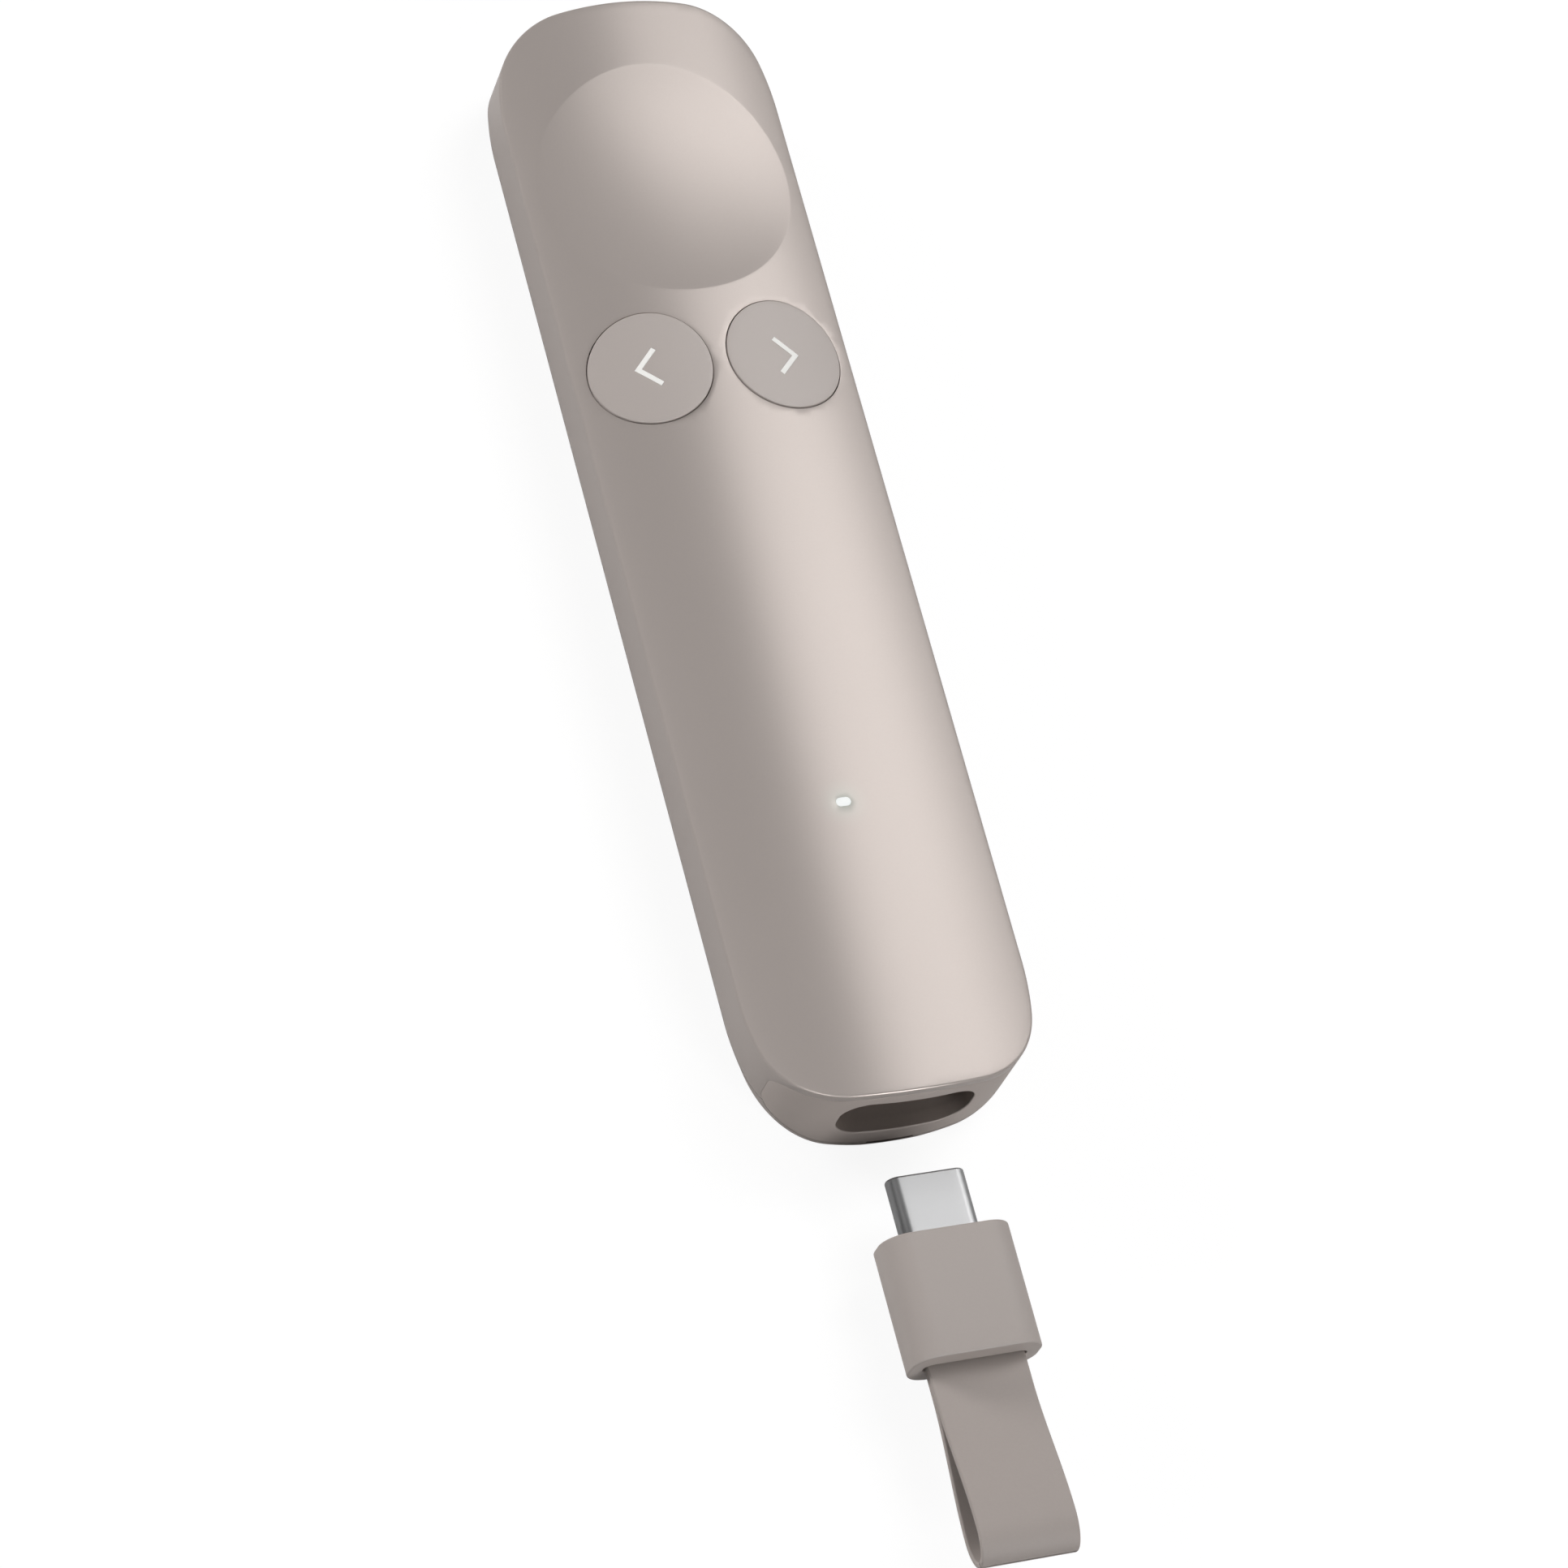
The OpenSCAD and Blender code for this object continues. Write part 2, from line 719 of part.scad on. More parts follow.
// Round button: crowned face, hollow back, a stem over the switch and two tabs under the guide
module round_button(side) {
    color(button_colour) difference() {
        intersection() {
            translate([side * button_x, button_y, 0]) {
                difference() {
                    translate([0, 0, button_base_z]) cylinder(r = button_r, h = top_z);
                    translate([0, 0, button_base_z - over])
                        cylinder(r = button_hollow_r, h = button_hollow_z - button_base_z + over);
                }
                translate([0, 0, stem_z]) cylinder(r = stem_r, h = button_hollow_z - stem_z + button_skin / 2);
                for (way = [0, 1]) mirror([0, way, 0])
                    translate([-tab_w / 2, button_hollow_r + button_gap, button_base_z])
                        cube([tab_w, tab_reach - button_hollow_r - button_gap, tab_t]);
            }
            long_bar(crown_r + button_proud, crown_axis_z);
        }
        arrow_solid(side);
    }
}

module button_mark(side) {
    color(mark_colour) intersection() {
        arrow_solid(side);
        long_bar(crown_r + button_proud, crown_axis_z);
    }
}
module previous_button() { round_button(-1); }
module next_button() { round_button(1); }
module previous_chevron() { button_mark(-1); }
module next_chevron() { button_mark(1); }

// Receiver: metal plug, moulded grip with its front plate, board, strap and pin
module plug_shell() {
    root_y = grip_nose_y - plug_root;
    color(metal_colour) difference() {
        plug_bar(plug_w, plug_h, root_y, plug_tip_y);
        plug_bar(plug_w - 2 * plug_t, plug_h - 2 * plug_t, root_y - over, plug_tip_y + over);
    }
}

// Contact block: solid at its back, two thin wafers above and below the tongue's space
module plug_insulator() {
    w = plug_w - 2 * plug_t - 2 * seat_gap;
    h = plug_h - 2 * plug_t - 2 * seat_gap;
    color(inner_colour) difference() {
        plug_bar(w, h, grip_nose_y - plug_root, plug_tip_y - plug_t);
        translate([-w / 2 - over, plug_tip_y - wafer_back, dock_z - h / 2 + wafer_t])
            cube([w + 2 * over, plug_l, h - 2 * wafer_t]);
    }
}

module receiver_housing() {
    color(button_colour) difference() {
        dock_bar(grip_w, grip_h, grip_corner_r, grip_tail_y, grip_nose_y);
        dock_bar(cavity_w, cavity_h, cavity_r, cavity_y, grip_nose_y + over);
        along_y(grip_tail_y - over, pin_y) translate([0, dock_z])
            slot(strap_w + 2 * slot_gap, 2 * strap_t + 2 * slot_gap);
        translate([0, pin_y, dock_z]) rotate([0, 90, 0]) {
            cylinder(r = bead_r + bead_gap, h = strap_w + 2 * slot_gap, center = true);
            cylinder(r = pin_r + pin_gap, h = grip_w - 2 * pin_end + 2 * seat_gap, center = true);
        }
    }
}

// Front plate of the grip, round the plug
module receiver_nose() {
    color(button_colour) difference() {
        dock_bar(cavity_w - 2 * seat_gap, cavity_h - 2 * seat_gap, cavity_r - seat_gap,
                 grip_nose_y - nose_t, grip_nose_y);
        plug_bar(plug_w + 2 * plug_hole_gap, plug_h + 2 * plug_hole_gap,
                 grip_nose_y - nose_t - over, grip_nose_y + over);
    }
}

module receiver_board() {
    y = cavity_y + seat_gap;
    color(board_colour) translate([-dongle_board_w / 2, y, dock_z - plug_h / 2 - seat_gap - dongle_board_t])
        cube([dongle_board_w, grip_nose_y - nose_t - seat_gap - y, dongle_board_t]);
}

module receiver_chip() {
    y = cavity_y + 2 * seat_gap;
    color(inner_colour) translate([-dongle_chip_w / 2, y, dock_z - plug_h / 2])
        cube([dongle_chip_w, grip_nose_y - plug_root - 2 * seat_gap - y, dongle_chip_h]);
}

// Flat loop that opens to a rounded end, with a bead round the pin at its root
module strap_loop() {
    color(strap_colour) difference() {
        union() {
            translate([0, 0, dock_z]) along_x(strap_w) difference() {
                polygon(concat(flank(0), nose_arc(0), mirrored(flank(0))));
                polygon(concat(flank(strap_t), nose_arc(strap_t), mirrored(flank(strap_t))));
            }
            translate([0, 0, dock_z]) along_x(strap_w)
                translate([loop_split_y - seat_gap, -strap_t])
                    square([pin_y - loop_split_y + seat_gap, 2 * strap_t]);
            translate([0, pin_y, dock_z]) rotate([0, 90, 0]) cylinder(r = bead_r, h = strap_w, center = true);
        }
        translate([0, pin_y, dock_z]) rotate([0, 90, 0])
            cylinder(r = pin_r + pin_gap, h = strap_w + 2 * over, center = true);
    }
}

module strap_pin() {
    color(metal_colour) translate([0, pin_y, dock_z]) rotate([0, 90, 0])
        cylinder(r = pin_r, h = grip_w - 2 * pin_end, center = true);
}

upper_shell();
bottom_cover();
end_cap();
dock_sleeve();
charging_socket();
socket_tongue();
chassis();
main_board();
board_screws();
battery();
haptic_motor();
touch_sensor();
touch_flex();
previous_switch();
next_switch();
status_light();
light_pipe();
radio_shield();
antenna();
power_chip();
previous_button();
previous_chevron();
next_button();
next_chevron();
plug_shell();
plug_insulator();
receiver_housing();
receiver_nose();
receiver_board();
receiver_chip();
strap_loop();
strap_pin();
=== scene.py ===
"""Looks of a presentation clicker: a slim handset with a thumb dish, and its pull-out receiver."""

import json
import logging
import math
from collections.abc import Callable, Sequence
from dataclasses import dataclass
from enum import Enum

import bmesh
import bpy
import numpy as np
from mathutils import Matrix, Vector
from mathutils.geometry import delaunay_2d_cdt

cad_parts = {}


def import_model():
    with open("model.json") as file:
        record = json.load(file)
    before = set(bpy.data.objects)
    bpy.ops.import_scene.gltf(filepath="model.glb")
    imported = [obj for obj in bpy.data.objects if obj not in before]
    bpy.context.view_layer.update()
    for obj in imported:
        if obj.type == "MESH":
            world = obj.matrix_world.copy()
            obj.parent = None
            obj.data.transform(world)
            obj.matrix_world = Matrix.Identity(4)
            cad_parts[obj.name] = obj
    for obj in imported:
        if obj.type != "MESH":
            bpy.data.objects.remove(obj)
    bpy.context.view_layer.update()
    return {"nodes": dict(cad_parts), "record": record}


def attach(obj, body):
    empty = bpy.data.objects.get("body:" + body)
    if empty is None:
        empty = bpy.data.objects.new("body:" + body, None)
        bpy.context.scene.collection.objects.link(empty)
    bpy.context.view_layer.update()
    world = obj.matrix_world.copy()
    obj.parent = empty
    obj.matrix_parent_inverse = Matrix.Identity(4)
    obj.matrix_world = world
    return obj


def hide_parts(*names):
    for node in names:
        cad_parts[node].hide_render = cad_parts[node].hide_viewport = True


LOG = logging.getLogger("clicker")
Array = np.ndarray
Place = Callable[[Array, Array, Array | float], Array]
Colour = tuple[float, float, float]

MM = 0.001
ARC_STEPS = 60
ROUND_STEPS = 128
# Points compared in one go, and what keeps the two arcs of an oval's end apart.
CHUNK = 2000
HAIR = 1e-3
# Distance within which points are merged, and angles above which an edge is drawn sharp.
WELD = 2e-4
SHARP = 32.0
SHARP_SWEPT = 40.0
# How far round an edge its rings lie, in degrees.
ROLL_TURNS = (0, 30, 60, 90)
FINE_TURNS = (0, 15, 30, 45, 60, 75, 90)


class Body(Enum):
    """Bodies of the model that a piece can ride on."""

    HANDSET = "handset"
    PREVIOUS = "previous_button"
    NEXT = "next_button"
    RECEIVER = "receiver"


class Side(Enum):
    """Side of the handset that a button is on."""

    LEFT = -1
    RIGHT = 1


@dataclass(frozen=True)
class HandsetForm:
    """Outer form of the handset, in millimetres, with the sizes that its solids have."""

    length: float = 126.3
    width: float = 30.3
    seam: float = 4.75
    rim: float = 10.35
    top: float = 13.6
    rest: float = 6.0
    tail_end_r: float = 52.0
    far_end_r: float = 59.0
    tail_corner_r: float = 9.2
    far_corner_r: float = 8.85
    shoulder_r: float = 27.0
    shoulder_turn: float = 12.0
    dish_y: float = 41.55
    dish_r: float = 13.7
    dish_depth: float = 1.0
    dish_rim: float = 0.012
    button_x: float = 7.3
    button_y: float = 19.55
    button_hole_r: float = 6.45
    light_y: float = -31.65

    @property
    def half(self) -> float:
        """Half of the width."""
        return self.width / 2

    @property
    def crown_r(self) -> float:
        """Radius of the crowned top."""
        rise = self.top - self.rim
        return (self.half**2 + rise**2) / (2 * rise)

    @property
    def under_z(self) -> float:
        """Height of the axis of the crowned underside."""
        return (self.half**2 + self.seam**2 - (self.rest / 2) ** 2) / (2 * self.seam)

    @property
    def under_r(self) -> float:
        """Radius of the crowned underside."""
        return math.hypot(self.rest / 2, self.under_z)

    def crown(self, x: Array, raised: float = 0.0) -> Array:
        """Height of the crown over x, raised along its normal."""
        r = self.crown_r + raised
        return self.top - self.crown_r + np.sqrt(r * r - np.square(x))

    def under(self, x: Array) -> Array:
        """Height of the underside at x."""
        return np.maximum(self.under_z - np.sqrt(self.under_r * self.under_r - np.square(x)), 0.0)

    def upper_face(self, x: Array, y: Array) -> Array:
        """Height of the crowned face with the thumb dish pressed into it."""
        reach = (np.square(x) + np.square(y - self.dish_y)) / self.dish_r**2
        sink = self.dish_depth * (1 - reach)
        return self.crown(x) - (sink + np.sqrt(sink**2 + self.dish_rim**2)) / 2


class Outline:
    """Outline of the handset seen from above, run anticlockwise from the middle of its far end."""

    def __init__(self, form: HandsetForm) -> None:
        """Lays out the arcs of both ends and the straight sides between them.

        Args:
            form: Outer form of the handset.
        """
        self.form = form
        far = self._quarter(form.far_end_r, form.far_corner_r)
        tail = self._quarter(form.tail_end_r, form.tail_corner_r)
        parts = [
            self._turned(far[::-1], -1, 1, 180),
            self._turned(tail, -1, -1, 180),
            self._turned(tail[::-1], 1, -1, 360),
            self._turned(far, 1, 1, 360),
        ]
        self.x, self.y, self.angle = spaced(np.vstack(parts), 1e-6).T
        self.s = np.concatenate([[0], np.cumsum(np.hypot(np.diff(self.x), np.diff(self.y)))])

    def _quarter(self, end_r: float, corner_r: float) -> Array:
        """Points and normal angles of a quarter in +X +Y, from its side to the middle of its end.

        Args:
            end_r: Radius of the bowed end.
            corner_r: Radius of the corner.

        Returns:
            Rows of x, y and the normal's angle in degrees.
        """
        f = self.form
        lead = f.shoulder_r - corner_r
        turn = math.radians(f.shoulder_turn)
        end_y = f.length / 2 - end_r
        cx = f.half - f.shoulder_r + lead * math.cos(turn)
        cy = end_y + math.sqrt((end_r - corner_r) ** 2 - cx * cx)
        last = math.atan2(cy - end_y, cx)
        arcs = [
            (cx - lead * math.cos(turn), cy - lead * math.sin(turn), f.shoulder_r, 0.0, turn),
            (cx, cy, corner_r, turn, last),
            (0.0, end_y, end_r, last, math.pi / 2),
        ]
        rows = []
        for x, y, r, start, stop in arcs:
            a = np.linspace(start, stop, ARC_STEPS)
            rows.append(columns(x + r * np.cos(a), y + r * np.sin(a), np.degrees(a)))
        return np.vstack(rows)

    @staticmethod
    def _turned(rows: Array, x_way: int, y_way: int, base: float) -> Array:
        """A quarter mirrored to another corner, with its normal angles counted from a base."""
        return columns(rows[:, 0] * x_way, rows[:, 1] * y_way, base + x_way * y_way * rows[:, 2])

    def at(self, s: Array) -> tuple[Array, Array, Array, Array]:
        """Points and outward normals at distances along the outline."""
        s = np.clip(s, 0, self.s[-1])
        a = np.radians(np.interp(s, self.s, self.angle))
        return np.interp(s, self.s, self.x), np.interp(s, self.s, self.y), np.cos(a), np.sin(a)

    def tail_s(self, x: Array) -> Array:
        """Distance along the outline at which its tail crosses x."""
        keep = (self.angle > 180) & (self.angle < 360)
        return np.interp(x, self.x[keep], self.s[keep])

    def on_tail(self, points: Array) -> Array:
        """Points across the handset as distances along the outline and heights."""
        return columns(self.tail_s(points[:, 0]), points[:, 1])

    def samples(self, fine: float = 0.45, coarse: float = 1.4) -> Array:
        """Distances for rings round the handset, closer together where it turns.

        Args:
            fine: Step where the outline turns.
            coarse: Step along the straight sides.

        Returns:
            The distances, from nothing to the whole way round.
        """
        out = [0.0]
        turn = np.abs(np.gradient(self.angle, self.s)) > 0.01
        while out[-1] < self.s[-1] - 0.6 * coarse:
            bent = np.interp(out[-1] + fine, self.s, turn.astype(float)) > 0.5
            out.append(out[-1] + (fine if bent else coarse))
        out[-1] = self.s[-1]
        return np.array(out)

    def wall(self, s: Array, z: Array | float, depth: Array | float) -> Array:
        """Points of the side wall at distance s and height z, at a depth behind its face."""
        x, y, nx, ny = self.at(s)
        return columns(x - nx * depth, y - ny * depth, z)


def columns(*parts: Array | float) -> Array:
    """Rows of coordinates from their columns, where a number fills a whole column."""
    return np.stack(np.broadcast_arrays(*parts), 1)


def spaced(line: Array, gap: float) -> Array:
    """The points of a line that lie farther than a gap from the one before."""
    step = np.hypot(*np.diff(line[:, :2], axis=0).T)
    return line[np.concatenate([[True], step > gap])]


def shifted(points: Array, by: float, closed: bool = True) -> Array:
    """Points of a line moved to its left, keeping its corners sharp.

    Args:
        points: Points of the line, in order, with the material on its left.
        by: How far every part of the line moves.
        closed: Whether the last point joins the first.

    Returns:
        The moved points.
    """
    ahead = np.roll(points, -1, 0) - points
    if not closed:
        ahead[-1] = ahead[-2]
    ahead /= np.maximum(np.linalg.norm(ahead, axis=1, keepdims=True), 1e-12)
    before = np.roll(ahead, 1, 0)
    if not closed:
        before[0] = ahead[0]
    mid = columns(-ahead[:, 1], ahead[:, 0]) + columns(-before[:, 1], before[:, 0])
    return points + by * 2 * mid / np.maximum((mid * mid).sum(1, keepdims=True), 0.5)


def rolled(
    line: Array, radius: float, turns: Sequence[float] = ROLL_TURNS, closed: bool = True
) -> list[tuple[Array, float]]:
    """Lines down a rounded edge, from the face to the wall behind it.

    Args:
        line: The edge, with the material on its left.
        radius: Radius of the rounding.
        turns: How far round the edge each line lies, in degrees.
        closed: Whether the last point joins the first.

    Returns:
        Each line with its depth behind the face.
    """
    out = []
    for turn in turns:
        a = math.radians(turn)
        out.append((shifted(line, radius * (1 - math.sin(a)), closed), radius * (1 - math.cos(a))))
    return out


def inside(points: Array, loops: Sequence[Array]) -> Array:
    """Which points lie inside an odd number of closed loops.

    Args:
        points: The points to test.
        loops: The loops.

    Returns:
        A truth value for each point.
    """
    count = np.zeros(len(points), int)
    for loop in loops:
        a, b = loop, np.roll(loop, -1, 0)
        rise = np.where(b[:, 1] == a[:, 1], 1, b[:, 1] - a[:, 1])
        for i in range(0, len(points), CHUNK):
            px, py = points[i : i + CHUNK, 0:1], points[i : i + CHUNK, 1:2]
            cross = (a[:, 1] > py) != (b[:, 1] > py)
            at = (b[:, 0] - a[:, 0]) * (py - a[:, 1]) / rise + a[:, 0]
            count[i : i + CHUNK] += (cross & (px < at)).sum(1)
    return count % 2 == 1


def clear_of(points: Array, others: Array, gap: float) -> Array:
    """The points that are farther than a gap from all the others.

    Args:
        points: The points to choose from.
        others: The points to keep clear of.
        gap: The gap.

    Returns:
        The points that are left.
    """
    keep = np.ones(len(points), bool)
    for i in range(0, len(points), CHUNK):
        part = points[i : i + CHUNK]
        keep[i : i + CHUNK] = ((part[:, None] - others[None]) ** 2).sum(2).min(1) > gap * gap
    return points[keep]


def circle(x: float, y: float, r: float, steps: int = ROUND_STEPS) -> Array:
    """Points of a circle, anticlockwise."""
    a = np.linspace(0, 2 * np.pi, steps, endpoint=False)
    return columns(x + r * np.cos(a), y + r * np.sin(a))


def round_rect(w: float, h: float, r: float, steps: int, edge: float) -> Array:
    """Points of a rounded rectangle round the origin, anticlockwise.

    Args:
        w: Width.
        h: Height.
        r: Radius of the corners.
        steps: Points on each corner.
        edge: Longest distance between points on the straight parts.

    Returns:
        The points.
    """
    out = []
    for k, (sx, sy) in enumerate([(1, 1), (-1, 1), (-1, -1), (1, -1)]):
        a = np.radians(np.linspace(90 * k, 90 * k + 90, steps))
        out.append(columns(sx * (w / 2 - r) + r * np.cos(a), sy * (h / 2 - r) + r * np.sin(a)))
    return evened(np.vstack(out), edge)


def stadium(w: float, h: float, steps: int, edge: float) -> Array:
    """Points of a flat oval with round ends, anticlockwise."""
    return round_rect(w, h, h / 2 - HAIR, steps, edge)


def evened(loop: Array, edge: float) -> Array:
    """A closed loop without double points and with its long edges divided.

    Args:
        loop: The loop.
        edge: Longest distance between its points.

    Returns:
        The new loop.
    """
    out = []
    for a, b in zip(loop, np.roll(loop, -1, 0)):
        n = math.ceil(math.dist(a, b) / edge - 1e-9) if math.dist(a, b) > 1e-7 else 0
        out += [a + (b - a) * i / n for i in range(n)]
    return np.array(out)


def ring_at(place: Place, loop: Array, depth: float) -> Array:
    """Points of a flat loop, placed at one depth."""
    return place(loop[:, 0], loop[:, 1], depth)


def across(y: float, way: int = -1, lift: float = 0.0) -> Place:
    """Placing of a patch in the plane across the handset at y.

    Args:
        y: Place of the plane.
        way: 1 where the patch looks towards +Y, and -1 where it looks towards the tail.
        lift: Height of the patch's own origin.

    Returns:
        The placing.
    """
    return lambda px, pz, depth: columns(px, y - way * depth, pz + lift)


@dataclass
class Edge:
    """One closed edge of a patch, with the material on its left.

    Attributes:
        loop: Its points in the patch's own plane.
        roll: Radius with which the face rolls down into the edge.
        skirt: How far the wall behind the edge goes down.
        skirt_slot: Material slot of that wall.
    """

    loop: Array
    roll: float = 0.0
    skirt: float = 0.0
    skirt_slot: int = 0

    def rings(self) -> list[tuple[Array, float]]:
        """Rings from the face down the rolled edge, each with its depth."""
        out = rolled(self.loop, self.roll) if self.roll else [(self.loop, 0.0)]
        if self.skirt:
            out.append((self.loop, self.roll + self.skirt))
        return out


class Skin:
    """Faces gathered from patches and lofts before they become one mesh, in millimetres."""

    def __init__(self) -> None:
        """Starts empty."""
        self.points: list[Array] = []
        self.faces: list[tuple[int, ...]] = []
        self.slots: list[int] = []
        self.count = 0
        self.slot = 0

    def add(self, points: Array, faces: Sequence[Sequence[int]], flip: bool = False) -> None:
        """Adds points and the faces between them.

        Args:
            points: The 3-D points.
            faces: Places of each face's points among them.
            flip: Whether the faces are turned over.
        """
        for f in faces:
            f = [int(i) + self.count for i in f]
            self.faces.append(tuple(f[::-1] if flip else f))
            self.slots.append(self.slot)
        self.points.append(np.asarray(points, float))
        self.count += len(points)

    def loft(self, rings: Sequence[Array], closed: bool = True, flip: bool = False) -> None:
        """Joins rings of equally many points, one to the next.

        Args:
            rings: Rings of 3-D points.
            closed: Whether each ring's last point joins its first.
            flip: Whether the faces are turned over.
        """
        n = len(rings[0])
        faces = []
        for k in range(len(rings) - 1):
            for i in range(n if closed else n - 1):
                j = (i + 1) % n
                faces.append((k * n + i, (k + 1) * n + i, (k + 1) * n + j, k * n + j))
        self.add(np.vstack(rings), faces, flip)

    def patch(
        self,
        place: Place,
        edges: Sequence[Edge],
        spacing: float,
        extra: Sequence[Array] = (),
        flip: bool = False,
    ) -> None:
        """Fills the face between edges with small triangles, and rolls it down at each edge.

        Args:
            place: Turns the patch's own coordinates and a depth into 3-D points.
            edges: The outer edge anticlockwise, and holes clockwise.
            spacing: Distance between the points inside.
            extra: More points inside, such as rings where the face turns sharply.
            flip: Whether the faces are turned over.
        """
        loops = [e.rings()[0][0] for e in edges]
        rim = np.vstack(loops)
        coords = np.vstack([rim, self.filling(loops, rim, spacing, extra)])
        links, start = [], 0
        for loop in loops:
            n = len(loop)
            links += [(start + i, start + (i + 1) % n) for i in range(n)]
            start += n
        verts, _, tris, *_ = delaunay_2d_cdt([Vector(p) for p in coords], links, [], 0, 1e-7, False)
        flat = np.array([v[:] for v in verts])
        tris = np.array([t[:] for t in tris])
        tris = tris[inside(flat[tris].mean(1), loops)]
        a, b, c = flat[tris[:, 0]], flat[tris[:, 1]], flat[tris[:, 2]]
        area = (b[:, 0] - a[:, 0]) * (c[:, 1] - a[:, 1]) - (b[:, 1] - a[:, 1]) * (c[:, 0] - a[:, 0])
        tris[area < 0] = tris[area < 0][:, ::-1]
        self.add(ring_at(place, flat, 0.0), tris, flip)
        for e in edges:
            rings = [ring_at(place, loop, depth) for loop, depth in e.rings()]
            if len(rings) > 1:
                self.loft(rings[: len(rings) - bool(e.skirt)], True, flip)
            if e.skirt:
                self.slot = e.skirt_slot
                self.loft(rings[-2:], True, flip)
                self.slot = 0

    @staticmethod
    def filling(loops: Sequence[Array], rim: Array, spacing: float, extra: Sequence[Array]) -> Array:
        """Points inside a patch, on a grid of even triangles.

        Args:
            loops: Edges of the patch.
            rim: All the points of those edges.
            spacing: Distance between the grid's points.
            extra: More points inside, which the grid keeps clear of.

        Returns:
            The points inside the edges and clear of them.
        """
        low, high = rim.min(0), rim.max(0)
        gx, gy = np.meshgrid(
            np.arange(low[0] + spacing / 2, high[0], spacing),
            np.arange(low[1] + spacing / 2, high[1], spacing * 0.87),
        )
        gx[1::2] += spacing / 2
        grid = columns(gx.ravel(), gy.ravel())
        if len(extra):
            more = np.vstack(extra)
            grid = np.vstack([clear_of(grid, more, spacing * 0.55), more])
        return clear_of(grid[inside(grid, loops)], rim, min(spacing * 0.5, 0.5))

    def data(self, name: str) -> bpy.types.Mesh:
        """Makes the plain mesh, in metres."""
        made = bpy.data.meshes.new(name)
        made.from_pydata((np.vstack(self.points) * MM).tolist(), [], self.faces)
        made.polygons.foreach_set("material_index", self.slots)
        return made

    def mesh(self, name: str) -> bpy.types.Object:
        """Makes the Blender object, with its doubles merged and its corners kept crisp."""
        return finished(self.data(name), name, SHARP, WELD * MM)


def finished(data: bpy.types.Mesh, name: str, sharp: float, weld: float) -> bpy.types.Object:
    """Merges a mesh's doubles, shades it smooth up to an angle and links it as an object.

    Args:
        data: The mesh.
        name: Name of the piece.
        sharp: Angle above which an edge is drawn sharp, in degrees.
        weld: Distance within which points are merged, in metres.

    Returns:
        The new object, linked to the scene.
    """
    bm = bmesh.new()
    bm.from_mesh(data)
    bmesh.ops.remove_doubles(bm, verts=bm.verts, dist=weld)
    bmesh.ops.dissolve_degenerate(bm, edges=bm.edges, dist=weld * 0.1)
    bm.to_mesh(data)
    bm.free()
    data.shade_smooth()
    data.set_sharp_from_angle(angle=math.radians(sharp))
    obj = bpy.data.objects.new(name, data)
    bpy.context.scene.collection.objects.link(obj)
    return obj


def new_tree(name: str, kind: str, inputs: dict[str, str], outputs: dict[str, str]) -> bpy.types.NodeTree:
    """Makes a node group with named inputs and outputs.

    Args:
        name: Name of the group.
        kind: Type of the tree.
        inputs: Name of each input and the last word of its socket's type.
        outputs: The same for each output.

    Returns:
        The empty tree.
    """
    tree = bpy.data.node_groups.new(name, kind)
    for way, sockets in (("INPUT", inputs), ("OUTPUT", outputs)):
        for label, word in sockets.items():
            tree.interface.new_socket(label, in_out=way, socket_type=f"NodeSocket{word}")
    return tree


def grey(level: float) -> tuple[float, float, float, float]:
    """Opaque grey of a level."""
    return (level, level, level, 1.0)


class Graph:
    """Small helper that adds and links shader or geometry nodes."""

    def __init__(self, tree: bpy.types.NodeTree) -> None:
        """Takes the tree to build in."""
        self.tree = tree
        self.tree.nodes.clear()

    def node(
        self, kind: str, values: dict[str | int, object] | None = None, **settings: object
    ) -> bpy.types.Node:
        """Adds a node.

        Args:
            kind: Type name of the node.
            values: Input name or place to a value, or to an output socket that feeds it.
            **settings: Attributes of the node.

        Returns:
            The new node.
        """
        made = self.tree.nodes.new(kind)
        for key, value in settings.items():
            setattr(made, key, value)
        for key, value in (values or {}).items():
            socket = made.inputs[key]
            if isinstance(value, bpy.types.NodeSocket):
                self.tree.links.new(value, socket)
            else:
                socket.default_value = value
        return made

    def math(self, operation: str, a: object, b: object = 0.0, clamp: bool = False) -> bpy.types.NodeSocket:
        """Result of a math node."""
        return self.node("ShaderNodeMath", {0: a, 1: b}, operation=operation, use_clamp=clamp).outputs[0]

    def mix(self, factor: object, a: object, b: object) -> bpy.types.NodeSocket:
        """Mix of two colours."""
        return self.node("ShaderNodeMix", {0: factor, 6: a, 7: b}, data_type="RGBA").outputs[2]

    def dressed(self, geometry: bpy.types.NodeSocket, material: bpy.types.Material) -> None:
        """Ends a geometry tree: its instances made real, with their material."""
        real = self.node("GeometryNodeRealizeInstances", {0: geometry})
        made = self.node("GeometryNodeSetMaterial", {"Geometry": real.outputs[0], "Material": material})
        self.node("NodeGroupOutput", {0: made.outputs[0]})


